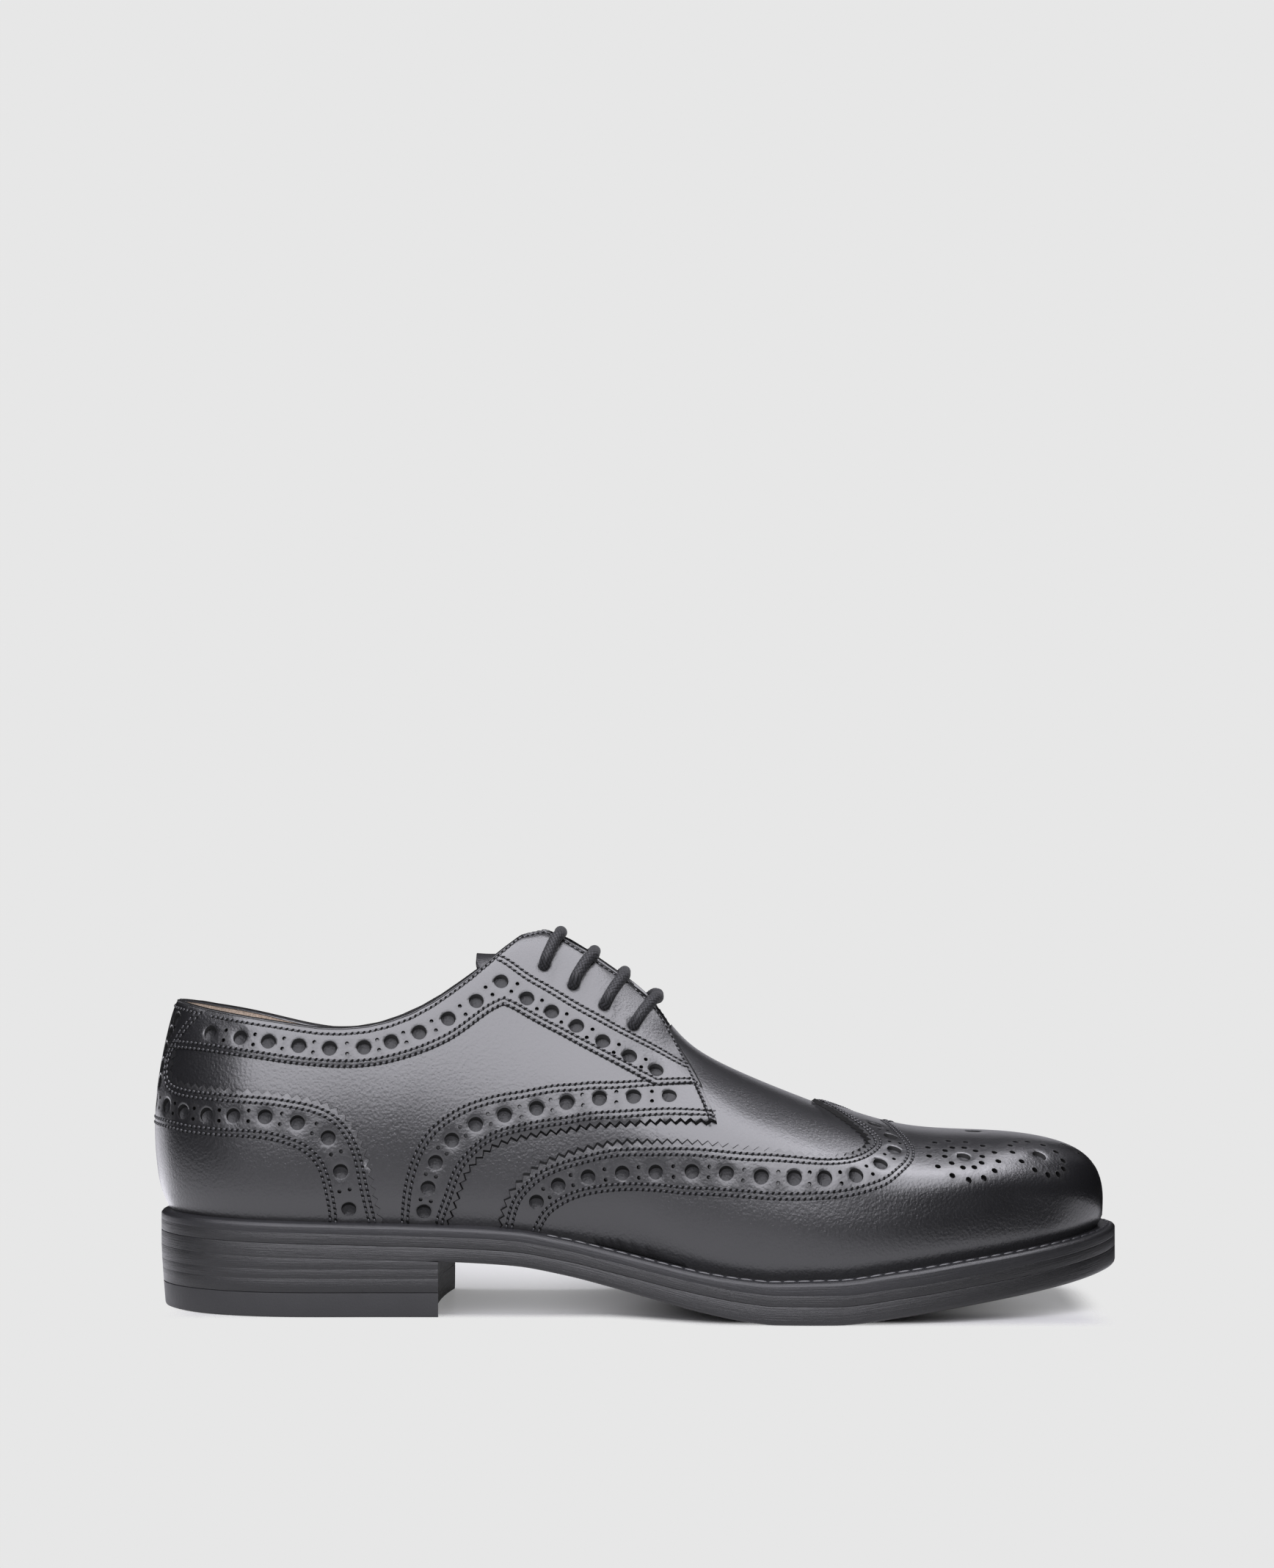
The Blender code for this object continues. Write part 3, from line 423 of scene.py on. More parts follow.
def facing_out(s, t):
    """Unit normal of the last; close to the toe tip both sides share their mean."""
    along, across = slopes(s, t)
    normal = unit(np.cross(across, along))
    row = row_of(s)
    if np.any(row < 0.4):
        along, across = slopes(LOOP - s, t)
        other = unit(np.cross(across, along))
        share = np.clip(0.5 - row / 0.8, 0, 0.5)[..., None]
        normal = unit(normal * (1 - share) + other * share)
    return normal


def top_share(s):
    """Where the upper ends on rib s, by halving: the ridge in front, then the edge of throat and collar."""
    s = np.asarray(s, float)
    low = np.full(s.shape, 0.4)
    high = np.ones(s.shape)
    line = TOP_LINE[::-1].T
    depth, at, run = MEDIAL_DIP
    for _ in range(24):
        middle = (low + high) / 2
        x, y, z = np.moveaxis(rib(s, middle), -1, 0)
        below = z + depth * bell((x - at) / run) * (y > 0) < np.interp(x, *line)
        low = np.where(below, middle, low)
        high = np.where(below, high, middle)
    return np.where(row_of(s) <= THROAT_START, 1.0, low)


# Sampled once: end of each rib, length of each rib, and way along the stations on an average height
S_FINE = np.linspace(0, LOOP, 1501)
TOP_FINE = top_share(S_FINE)
_sample = rib(S_FINE[:, None], np.linspace(0, 1, 41)[None, :])
RIB_LENGTH = np.linalg.norm(np.diff(_sample, axis=1), axis=-1).sum(1)
WAY = np.concatenate([[0], np.cumsum(np.linalg.norm(np.diff(_sample, axis=0), axis=-1).mean(1))])


def top_at(s):
    return np.interp(s, S_FINE, TOP_FINE)


def rib_length(s):
    return np.interp(s, S_FINE, RIB_LENGTH)


def skin(s, t, lift=0.0):
    """Point of the upper raised by lift along the normal.

    Layers thin out to the collar, the foot tucks in over the welt, and creases move all."""
    s, t, lift = np.broadcast_arrays(*(np.asarray(v, float) for v in (s, t, lift)))
    row = row_of(s)
    below = np.maximum(top_at(s) - t, 0) * rib_length(s)
    skive = 1 - SKIVE * np.exp(-below / SKIVE_RUN) * np.clip((row - 7.0) / 0.8, 0, 1)
    move = np.where(lift > 0, lift * skive, lift)
    points = rib(s, t)
    rear = np.clip((row - 5.5) / 1.5, 0, 1)
    waist = bell((row - 7.4) / 0.9)
    up = np.maximum(t * rib_length(s) - welt_rise(points[..., 0]), 0)
    depth, run = (a + b * rear + c * waist for a, b, c in zip(TUCK, TUCK_REAR, TUCK_WAIST))
    move = move - depth * bell(up / run)
    for at_s, at_t, run_s, run_t, depth in CREASES:
        move = move + depth * np.exp(-(((s - at_s) / run_s) ** 2) - ((t - at_t) / run_t) ** 2)
    points = points + move[..., None] * facing_out(s, t)
    points[..., 2] = np.maximum(points[..., 2], sole_top(points[..., 0]) + SEAT)
    return points


def fold(s, t):
    """Heights past the ridge come down on the other side."""
    over = t > 1
    return np.where(over, LOOP - s, s), np.where(over, 2 - t, t)


def mirror(line):
    """The same pattern line on the inner side, kept to that side's own collar."""
    s, t = np.asarray(line, float).T
    ratio = top_at(LOOP - s) / top_at(s)
    return np.stack([LOOP - s, t * np.where(s > 9, ratio, 1)], -1)


SIDES = (("lateral", np.asarray), ("medial", mirror))


def both(lines):
    return lines + [mirror(line) for line in lines]


def slid(s, t, vector):
    """(station, height) after a move by a vector in the surface: least squares on the two slopes."""
    along, across = slopes(s, t)
    a = (along * along).sum(-1)
    b = (along * across).sum(-1)
    c = (across * across).sum(-1)
    p = (along * vector).sum(-1)
    q = (across * vector).sum(-1)
    det = a * c - b * b
    return s + (c * p - b * q) / det, t + (a * q - b * p) / det


def even(rows, step, smooth=True):
    """A pattern line resampled at even steps of its length on the last: rows of (station, height)."""
    rows = np.asarray(rows, float)
    at = np.linspace(0, len(rows) - 1, 24 * len(rows))
    dense = spline(rows, at) if smooth else picked(at, np.arange(len(rows)), rows)
    way = walked(rib(*dense.T))
    count = max(2, int(round(way[-1] / step)) + 1)
    return picked(np.linspace(0, way[-1], count), way, dense)


def beside(line, distance):
    """A line moved sideways over the surface, to the left as it is walked seen from outside."""
    s, t = line.T
    along = unit(np.gradient(rib(s, t), axis=0))
    aside = np.cross(facing_out(s, t), along)
    s, t = slid(s, t, aside * np.broadcast_to(distance, s.shape)[:, None])
    return np.stack([s, np.clip(t, 0.0, 1.0)], -1)


def collar_line(start, end, inset=0.0, step=1.6):
    """The upper's free edge between two stations, or a line inside it by the given inset."""
    s = np.linspace(start, end, int(abs(end - start) * STATION / step) + 2)
    return np.stack([s, top_at(s) - inset / rib_length(s)], -1)


def foot_line(start, end, count):
    """The feather line between two stations, without its first point."""
    s = np.linspace(start, end, count)[1:]
    return np.stack([s, 0 * s], -1)


def seam_rows(rim, low, side):
    """Two stitch rows inside a gimped edge, and one on either side of the piece's other seam."""
    rim, low = even(rim, 1.0), even(low, 1.0)
    return [beside(rim, side * d) for d in EDGE_ROWS] + [beside(low, d) for d in PAIR_ROWS]


def circles(centres, radius, sides):
    """Round holes in the leather: one loop of (station, height) for each centre."""
    s, t = np.asarray(centres, float).T
    one = unit(slopes(s, t)[0])
    two = unit(np.cross(facing_out(s, t), one))
    angle = np.linspace(0, 2 * np.pi, sides, endpoint=False)[None, :, None]
    vector = radius * (np.cos(angle) * one[:, None] + np.sin(angle) * two[:, None])
    s, t = slid(np.repeat(s[:, None], sides, 1), np.repeat(t[:, None], sides, 1), vector)
    return list(np.stack([s, t], -1))


def punched(rows, big, small, spread):
    """A row of large holes with a pair of pinholes across the row between each two."""
    rows = np.asarray(rows, float)
    between = np.arange(len(rows) - 1) + 0.5
    here, ahead = spline(rows, between), spline(rows, between + 0.1)
    along = unit(rib(*ahead.T) - rib(*here.T))
    aside = np.cross(facing_out(*here.T), along) * spread
    pairs = np.concatenate([np.stack(slid(*here.T, side * aside), -1) for side in (1, -1)])
    return circles(rows, big, HOLE_SIDES) + circles(pairs, small, PIN_SIDES)


def gimped(rows, sizes):
    """A toothed edge: the line at half pitches, stepped in and out by turns."""
    line = even(rows, sizes.gimp_pitch / MM / 2)
    tooth = np.where(np.arange(len(line)) % 2 == 0, 0.5, -0.5) * (sizes.gimp_depth / MM)
    tooth[[0, -1]] = 0
    return beside(line, tooth)


class Chart:
    """Flat pattern of the last: way along the stations and length along the rib, folded at the ridge or not."""

    def __init__(self, folded):
        self.folded = folded

    def flat(self, st):
        s, t = fold(*np.moveaxis(np.asarray(st, float), -1, 0))
        if not self.folded:
            return np.stack([np.interp(s, S_FINE, WAY), (t - 0.5) * rib_length(s)], -1)
        side = np.where(s <= HEEL_BACK, -1, 1)
        return np.stack([np.interp(row_of(s), S_FINE, WAY), side * (1 - t) * rib_length(s)], -1)

    def back(self, uv):
        u, v = np.asarray(uv, float).T
        s = np.interp(u, WAY, S_FINE)
        if not self.folded:
            return s, v / rib_length(s) + 0.5
        s = np.where(v > 0, LOOP - s, s)
        return s, 1 - np.abs(v) / rib_length(s)


def inside(points, loop):
    """True for the points within a closed loop, by counting crossings of a ray."""
    result = np.zeros(len(points), bool)
    x, y = points.T
    for (x0, y0), (x1, y1) in zip(loop, np.roll(loop, -1, 0)):
        if y0 != y1:
            crosses = (y0 > y) != (y1 > y)
            result ^= crosses & (x < (x1 - x0) * (y - y0) / (y1 - y0) + x0)
    return result


def clear_of_holes(points, holes):
    """True for the points that lie in no hole."""
    clear = np.ones(len(points), bool)
    for loop in holes:
        near = np.abs(points - loop.mean(0)).max(1) < HOLE_REACH
        clear &= ~(near & inside(points, loop))
    return clear


def clear_of(points, others, distance):
    """The points that lie further than a distance from every other point, by cells of that size."""
    cells = {}
    keys = np.floor(others / distance).astype(int)
    for key, other in zip(map(tuple, keys), others):
        cells.setdefault(key, []).append(other)
    keep = np.ones(len(points), bool)
    for i, (key, point) in enumerate(zip(np.floor(points / distance).astype(int), points)):
        near = [o for dx in (-1, 0, 1) for dy in (-1, 0, 1) for o in cells.get((key[0] + dx, key[1] + dy), ())]
        if near:
            keep[i] = np.min(np.sum((np.array(near) - point) ** 2, -1)) > distance**2
    return points[keep]


def sloped(loop, number, folded):
    """Moves of a loop's points from upper to lower face: square to the loop, and a large hole's at a slant too."""
    large = len(loop) > LARGE
    amount = OUTLINE_SLOPE if number == 0 else HOLE_SLOPE if large else PIN_SLOPE
    along = np.roll(loop, -1, 0) - np.roll(loop, 1, 0)
    x, y = loop.T
    turn = np.sign(np.sum(x * np.roll(y, -1) - np.roll(x, -1) * y))
    down = 1 if folded and y.mean() > 0 else -1
    slant = np.array([0.0, HOLE_SLANT * down]) * (number > 0 and large)
    return unit(np.stack([along[:, 1], -along[:, 0]], -1)) * turn * amount + slant


def dishes(rows, radius, low):
    """Floors of large holes: for each a round dish, its top rising with the square of the way out, closed below."""
    grid = []
    for share, rise in DISH:
        s, t = np.stack(circles(rows, radius * share, DISH_SIDES)).transpose(2, 0, 1)
        grid.append(skin(*fold(s, t), low + rise))
    grid = np.stack(grid, 1)
    n = numbered(grid)
    k = np.roll(n, -1, 2)
    quads = np.stack([n[:, :-1], k[:, :-1], k[:, 1:], n[:, 1:]], -1).reshape(-1, 4)
    return grid.reshape(-1, 3), quads.tolist() + n[:, 0].tolist() + n[:, -1, ::-1].tolist()


def pattern_points(loops, spacing):
    """Points of a flat pattern in rows of triangles, clear of its cut edges, with a ring round each large hole."""
    rings = [k.mean(0) + (k - k.mean(0)) * HOLE_COLLAR for k in loops[1:] if len(k) > LARGE]
    low, high = loops[0].min(0), loops[0].max(0)
    u, v = np.meshgrid(np.arange(low[0], high[0], spacing), np.arange(low[1], high[1], spacing * 0.87))
    u = u + (np.arange(len(u)) % 2)[:, None] * spacing / 2
    grid = np.stack([u.ravel(), v.ravel()], -1)
    grid = grid[inside(grid, loops[0])]
    grid = clear_of(grid, np.concatenate([*loops, *rings]), spacing * 0.55)
    grid = np.concatenate([grid, *rings])
    return grid[clear_of_holes(grid, loops[1:])]


def cut_leather(outline, holes, lifts, spacing, folded, bevel):
    """A flat pattern with its holes, triangulated and laid on the last as a closed piece between two lifts.

    Cut edges slope outward to the lower face. Returns vertices, triangles, the rim value (1 on cut edges) of each
    vertex and the material slot (1 on cut edges) of each triangle."""
    chart = Chart(folded)
    loops = [chart.flat(loop) for loop in (outline, *holes)]
    grid = pattern_points(loops, spacing)
    slope = np.concatenate([sloped(k, n, folded) for n, k in enumerate(loops)] + [np.zeros((len(grid), 2))])
    drops = [bevel] + [HOLE_DROP * (len(k) > LARGE) for k in loops[1:]]
    drop = np.repeat(drops + [0.0], [*map(len, loops), len(grid)])
    ends = np.cumsum([0, *map(len, loops)])
    edges = [(i, i + 1 if i + 1 < b else a) for a, b in zip(ends, ends[1:]) for i in range(a, b)]
    points = np.concatenate([*loops, grid])
    made, _, faces, source, *_ = delaunay_2d_cdt([Vector(p) for p in points], edges, [], 0, 1e-6)
    uv = np.array([tuple(p) for p in made])
    origin = [s[0] if s else ends[-1] for s in source]
    faces = np.array(faces)
    middle = uv[faces].mean(1)
    keep = inside(middle, loops[0]) & clear_of_holes(middle, loops[1:])
    used, faces = np.unique(faces[keep], return_inverse=True)
    faces = faces.reshape(-1, 3)
    uv, drop, slope = uv[used], drop[origin][used], slope[origin][used]
    sides = np.concatenate([faces[:, [0, 1]], faces[:, [1, 2]], faces[:, [2, 0]]])
    _, first, seen = np.unique(np.sort(sides, 1), axis=0, return_index=True, return_counts=True)
    rim_edges = sides[first[seen == 1]]
    if folded:
        tip = uv[:, 0] < 1e-6
        slope[tip] = 0
        rim_edges = rim_edges[~tip[rim_edges].all(1)]
    rim = np.zeros(len(uv))
    rim[rim_edges.ravel()] = 1
    top = skin(*chart.back(uv), lifts[1] - drop)
    bottom = skin(*chart.back(uv + slope), lifts[0])
    normal = np.cross(top[faces[:, 1]] - top[faces[:, 0]], top[faces[:, 2]] - top[faces[:, 0]])
    if np.sum(normal * facing_out(*chart.back(middle[keep]))) < 0:
        faces = faces[:, ::-1]
        rim_edges = rim_edges[:, ::-1]
    count = len(uv)
    a, b = rim_edges.T
    walls = np.concatenate([np.stack([b, a, a + count], -1), np.stack([b, a + count, b + count], -1)])
    triangles = np.concatenate([faces, faces[:, ::-1] + count, walls])
    slots = np.repeat([0, 1], [2 * len(faces), len(walls)])
    return np.concatenate([top, bottom]), triangles, np.concatenate([rim, np.ones(count)]), slots


def capsules(points, along, normal, length, radius, height):
    """Stitches: an ellipsoid for each point, long along the seam and low over the leather."""
    phi = np.radians([-90, -50, -18, 18, 50, 90])[:, None]
    theta = np.linspace(0, 2 * np.pi, 6, endpoint=False)[None, :]
    aside = np.cross(normal, along)
    long = (np.sin(phi) + 0 * theta)[None, ..., None] * along[:, None, None] * length / 2
    wide = (np.cos(phi) * np.cos(theta))[None, ..., None] * aside[:, None, None] * radius
    tall = (np.cos(phi) * np.sin(theta))[None, ..., None] * normal[:, None, None] * height
    grid = points[:, None, None] + long + wide + tall
    n = numbered(grid)
    k = np.roll(n, -1, 2)
    quads = np.stack([n[:, :-1], n[:, 1:], k[:, 1:], k[:, :-1]], -1).reshape(-1, 4)
    return grid.reshape(-1, 3), quads


def seam(line, lift, pitch):
    """Places of the stitches along a line of (station, height): points, directions, normals on the leather."""
    s, t = even(line, pitch / 4, smooth=False).T
    points = skin(s, t, lift)
    way = walked(points)
    at = np.arange(pitch / 2, way[-1], pitch)
    tangent = unit(np.gradient(points, axis=0))
    return picked(at, way, points), unit(picked(at, way, tangent)), unit(picked(at, way, facing_out(s, t)))


def grid_faces(n, closed_rows=False, closed_columns=False):
    """Quads between neighbours of a numbered grid, running on round where it is closed."""
    below = np.roll(n, -1, 0) if closed_rows else n[1:]
    here = n if closed_rows else n[:-1]
    if closed_columns:
        a, b = here, np.roll(here, -1, 1)
        c, d = np.roll(below, -1, 1), below
    else:
        a, b = here[:, :-1], here[:, 1:]
        c, d = below[:, 1:], below[:, :-1]
    return np.stack([a, b, c, d], -1).reshape(-1, 4)


def slab_faces(n):
    """Faces of a block of numbered sheets: the first sheet, the last one and the band round all of them."""
    rim = np.concatenate([n[:, 0, :-1], n[:, :-1, -1], n[:, -1, :0:-1], n[:, :0:-1, 0]], 1)
    return np.concatenate([grid_faces(n[0]), grid_faces(n[-1]), grid_faces(rim, closed_columns=True)])


def tube_faces(n):
    """Faces of a tube of numbered rings with both ends closed."""
    return grid_faces(n, closed_columns=True).tolist() + [n[0].tolist(), n[-1][::-1].tolist()]


def make(name, verts, faces, materials, slots=None, sharp=45, values=None, merge=0.004):
    """Mesh object at the origin from vertices in millimetres, smooth but for edges sharper than an angle."""
    mesh = bpy.data.meshes.new(name)
    mesh.from_pydata((np.asarray(verts) * MM).tolist(), [], faces if isinstance(faces, list) else faces.tolist())
    if slots is not None:
        mesh.polygons.foreach_set("material_index", np.asarray(slots, np.int32))
    for key, data in (values or {}).items():
        layer = mesh.attributes.new(key, "FLOAT", "POINT")
        layer.data.foreach_set("value", np.asarray(data, np.float32))
    bm = bmesh.new()
    bm.from_mesh(mesh)
    bmesh.ops.remove_doubles(bm, verts=bm.verts, dist=merge * MM)
    bmesh.ops.dissolve_degenerate(bm, edges=bm.edges, dist=1e-7)
    bmesh.ops.recalc_face_normals(bm, faces=bm.faces)
    bm.to_mesh(mesh)
    bm.free()
    for material in materials:
        mesh.materials.append(material)
    mesh.polygons.foreach_set("use_smooth", np.ones(len(mesh.polygons), bool))
    mesh.set_sharp_from_angle(angle=math.radians(sharp))
    mesh.update()
    obj = bpy.data.objects.new(name, mesh)
    bpy.context.scene.collection.objects.link(obj)
    return obj


def dress(obj, slot, *nodes):
    """The piece rides on the shoe and stands for the named CAD nodes; slot is not used."""
    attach(obj, BODY)
    if nodes:
        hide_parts(*nodes)


class Wire:
    """A socket of a material's node tree. Arithmetic adds Math nodes; node() adds any other node."""

    def __init__(self, tree, socket=None):
        self.tree = tree
        self.socket = socket

    def node(self, kind, settings=None, inputs=None, output=0):
        made = self.tree.nodes.new(kind)
        for key, value in (settings or {}).items():
            setattr(made, key, value)
        for key, value in (inputs or {}).items():
            self.put(made.inputs[key], value)
        return Wire(self.tree, made.outputs[output])

    def put(self, socket, value):
        if isinstance(value, Wire):
            self.tree.links.new(value.socket, socket)
        else:
            socket.default_value = value

    def math(self, operation, *values):
        return self.node("ShaderNodeMath", {"operation": operation}, dict(enumerate(values)))

    def attribute(self, name):
        return self.node("ShaderNodeAttribute", {"attribute_name": name}, {}, "Fac")

    def noise(self, place, scale, detail=2.0, rough=0.5):
        inputs = {"Vector": place, "Scale": scale, "Detail": detail, "Roughness": rough}
        return self.node("ShaderNodeTexNoise", {}, inputs, "Fac")

    def mixed(self, share, one, two):
        """Colour between two colours, or two wires, by a share."""
        return self.node("ShaderNodeMix", {"data_type": "RGBA"}, {0: share, 6: one, 7: two}, 2)

    def ramp(self, value, start, end):
        """0 below start, 1 above end, a smooth step between."""
        inputs = {"Value": value, "From Min": start, "From Max": end}
        return self.node("ShaderNodeMapRange", {"interpolation_type": "SMOOTHSTEP"}, inputs)

    def x_and_y(self, place):
        return (self.node("ShaderNodeSeparateXYZ", {}, {0: place}, k) for k in (0, 1))

    def __add__(self, other):
        return self.math("ADD", self, other)

    def __sub__(self, other):
        return self.math("SUBTRACT", self, other)

    def __rsub__(self, other):
        return self.math("SUBTRACT", other, self)

    def __mul__(self, other):
        return self.math("MULTIPLY", self, other)

    def __pow__(self, other):
        return self.math("POWER", self, other)


class Finish:
    """New material: constant inputs of its Principled node set, a wire to add nodes with, its Object coordinates."""

    def __init__(self, name, **constants):
        self.material = bpy.data.materials.new(name)
        self.material.use_nodes = True
        self.surface = self.material.node_tree.nodes["Principled BSDF"]
        self.wire = Wire(self.material.node_tree)
        self.place = self.wire.node("ShaderNodeTexCoord", output="Object")
        self.paint(**constants)

    def paint(self, **inputs):
        for key, value in inputs.items():
            name = key.replace("_", " ").title().replace("Ior", "IOR")
            self.wire.put(self.surface.inputs[name], value)

    def bump(self, height, strength, distance):
        inputs = {"Strength": strength, "Distance": distance, "Height": height}
        self.paint(normal=self.wire.node("ShaderNodeBump", {}, inputs))
        return self.material


def tint(color, factor=1.0):
    return (*(c * factor for c in color), 1.0)


def calf_leather(name, colors, roughness=0.33, coat=0.8, grain=0.42, ior=1.8):
    """Black calf: pebbled grain and pores under a thin polish, cut edges darker and dull, as black stain and painted
    shade.
    """
    look = Finish(name, coat_weight=coat, coat_roughness=0.26, ior=ior)
    w, place = look.wire, look.place
    pebble = w.node("ShaderNodeTexVoronoi", {"feature": "SMOOTH_F1"}, {"Vector": place, "Scale": 1150.0}, "Distance")
    fine = w.noise(place, 2300.0, 3.0)
    cloud = w.noise(place, 38.0, 3.0)
    rim = w.attribute("rim")
    tone = w.mixed(cloud, tint(colors.leather), tint(colors.leather, 1.7))
    # rim darkens the colour at cut edges and hole walls: black stain and painted shade
    look.paint(base_color=w.mixed(rim * 0.7, tone, tint(colors.leather, 0.4)),
               roughness=(cloud - 0.5) * 0.10 + roughness + rim * 0.12)
    return look.bump(pebble * 0.7 + fine * 0.5, grain, 0.0003)


def thread_finish(colors):
    """Waxed thread: lighter and rougher by turns of its twist."""
    look = Finish("waxed_thread", specular_ior_level=0.9)
    twist = look.wire.noise(look.place, 2800.0, 1.0)
    look.paint(base_color=look.wire.mixed(twist, tint(colors.thread), tint(colors.thread, 2)),
               roughness=twist * 0.2 + 0.28)
    return look.bump(twist, 0.3, 0.0002)


def stain_and_shade_finish(name, gloss, roughness):
    """Near-black dull leather: painted shade in the needle holes, black stain and painted shade on the cut edges."""
    look = Finish(name, specular_ior_level=gloss)
    stain = look.wire.noise(look.place, 900.0)
    look.paint(base_color=look.wire.mixed(stain, tint((0.002,) * 3), tint((0.006,) * 3)),
               roughness=look.wire.noise(look.place, 700.0) * 0.1 + roughness)
    return look.material


def edge_leather(name, colors, shade, rough, polish, gloss):
    """Dressed edge of stacked leather: fine lines along the layers, small pits, satin wax, polish to the toe, and
    colour darkened towards the toe as painted shade.
    """
    look = Finish(name, coat_roughness=0.35, specular_ior_level=gloss)
    w, wax = look.wire, 0.06
    layer = w.attribute("layer")
    x, y = w.x_and_y(look.place)
    along = w.node("ShaderNodeCombineXYZ", {}, {0: x * 70.0, 1: y * 70.0, 2: layer * 2.8})
    broad = w.node("ShaderNodeCombineXYZ", {}, {0: x * 12.0, 1: y * 12.0, 2: layer * 0.55})
    fibre = w.noise(along, 1.0, 6.0, 0.65)
    band = w.noise(broad, 1.0, 2.0)
    pits = w.noise(look.place, 1500.0, 2.0)
    # front rises towards the toe: it darkens the colour there as painted shade and brings up the polish
    front = w.ramp(x, 0.05, 0.14)
    base = [c * shade for c in colors.edge]
    tone = w.mixed(band, tint(base, 0.7), tint(base, 1.35))
    look.paint(base_color=w.mixed((fibre**2.0) * 0.8 + front * 0.45, tone, tint(base, 0.25)),
               roughness=fibre * 0.2 + rough - 0.1,
               coat_weight=front * (polish - wax) + wax)
    return look.bump(fibre * 1.0 + pits * 0.3, 0.4, 0.0005)


def heel_rubber(colors):
    """Hard black rubber, a little dusty."""
    look = Finish("top_lift_rubber", specular_ior_level=0.7)
    dust = look.wire.noise(look.place, 160.0, 4.0)
    base = [c * 0.8 for c in colors.edge]
    look.paint(base_color=look.wire.mixed(dust, tint(base, 0.85), tint(base, 1.2)), roughness=dust * 0.15 + 0.5)
    return look.bump(look.wire.noise(look.place, 1300.0, 3.0), 0.18, 0.0003)


def lining_leather(name, color):
    """Undyed lining: soft, pored and a little blotched."""
    look = Finish(name, specular_ior_level=0.25, sheen_weight=0.2, sheen_roughness=0.5)
    blotch = look.wire.noise(look.place, 60.0, 4.0)
    pore = look.wire.noise(look.place, 1700.0, 2.0)
    look.paint(base_color=look.wire.mixed(blotch * 0.3 + pore * 1.6 - 0.45, tint(color, 0.3), tint(color)),
               roughness=pore * 0.15 + 0.68)
    return look.bump(pore, 0.25, 0.0003)


def lace_finish(colors):
    """Waxed round braid: strands lighter on their crowns and darker between them, painted shade in the crevices."""
    look = Finish("lace_braid", specular_ior_level=0.3, sheen_weight=0.08, sheen_roughness=0.4)
    crown = look.wire.attribute("crown")
    fibre = look.wire.noise(look.place, 2600.0, 2.0)
    # colour falls off from the crowns into the crevices between strands: painted shade
    share = (crown**2.0) * (fibre * 0.7 + 0.5)
    look.paint(base_color=look.wire.mixed(share, tint(colors.lace, 0.06), tint(colors.lace)),
               roughness=0.8 - crown * 0.35)
    return look.bump(fibre, 0.3, 0.0002)


class ShoeSizes(bpy.types.PropertyGroup):
    """Sizes that a user would change."""

    hole: bpy.props.FloatProperty(
        name="Large hole", description="Diameter of a large punched hole", default=0.0046, unit="LENGTH")
    pinhole: bpy.props.FloatProperty(
        name="Pinhole", description="Diameter of the small holes in the punched bands", default=0.0013, unit="LENGTH")
    toe_pinhole: bpy.props.FloatProperty(
        name="Toe pinhole", description="Diameter of the small holes on the toe", default=0.0019, unit="LENGTH")
    pair_spread: bpy.props.FloatProperty(
        name="Pinhole spread", description="Half the way between paired pinholes", default=0.0016, unit="LENGTH")
    stitch_pitch: bpy.props.FloatProperty(
        name="Stitch pitch", description="Way from one stitch to the next", default=0.00185, unit="LENGTH")
    stitch_length: bpy.props.FloatProperty(
        name="Stitch length", description="Length of a stitch that shows", default=0.00135, unit="LENGTH")
    gimp_pitch: bpy.props.FloatProperty(
        name="Tooth pitch", description="Way from tooth to tooth of a gimped edge", default=0.0031, unit="LENGTH")
    gimp_depth: bpy.props.FloatProperty(
        name="Tooth depth", description="Depth of the teeth of a gimped edge", default=0.0014, unit="LENGTH")
    lace: bpy.props.FloatProperty(
        name="Lace", description="Diameter of the round lace", default=0.0038, unit="LENGTH")


class ShoeColours(bpy.types.PropertyGroup):
    """Colours of leather, thread, lining, edge, lace and stage."""

    leather: bpy.props.FloatVectorProperty(
        name="Leather", description="Black calf of the upper", default=(0.0042, 0.0042, 0.0050), subtype="COLOR")
    thread: bpy.props.FloatVectorProperty(
        name="Thread", description="Waxed sewing thread", default=(0.012, 0.012, 0.014), subtype="COLOR")
    edge: bpy.props.FloatVectorProperty(
        name="Edge", description="Dressed edge of sole and heel", default=(0.017, 0.017, 0.019), subtype="COLOR")
    lining: bpy.props.FloatVectorProperty(
        name="Lining", description="Lining leather at the heel", default=(0.60, 0.49, 0.40), subtype="COLOR")
    lace: bpy.props.FloatVectorProperty(
        name="Lace", description="Waxed lace", default=(0.028, 0.028, 0.032), subtype="COLOR")
    floor: bpy.props.FloatVectorProperty(
        name="Floor", description="Pale floor", default=(0.388, 0.388, 0.388), subtype="COLOR")
    backdrop: bpy.props.FloatVectorProperty(
        name="Backdrop", description="Pale studio backdrop", default=(0.799, 0.799, 0.799), subtype="COLOR")


SHARED = {}


def shared(name):
    """Materials that several pieces take, made once."""
    if not SHARED:
        colours = bpy.context.scene.shoe_colours
        SHARED.update(
            calf=calf_leather("black_calf", colours),
            thread=thread_finish(colours),
            # needle holes: near-black, painted shade
            pit=stain_and_shade_finish("needle_hole_painted_shade", 0.1, 0.8),
            # cut edges: black stain and painted shade
            cut=stain_and_shade_finish("cut_edge_stain_and_shade", 0.16, 0.62),
            backing=calf_leather("backing", colours, 0.5, 0.0, 0.7, 1.5),
        )
    return SHARED[name]


def laid(name, node, outline, holes, lifts, spacing, folded=False, bevel=0.22):
    """A cut piece of leather laid on the last in place of its CAD node."""
    verts, triangles, rim, slots = cut_leather(outline, holes, lifts, spacing, folded, bevel)
    obj = make(name, verts, triangles, [shared("calf"), shared("cut")], slots, sharp=50, values={"rim": rim})
    dress(obj, "upper_leather", node)


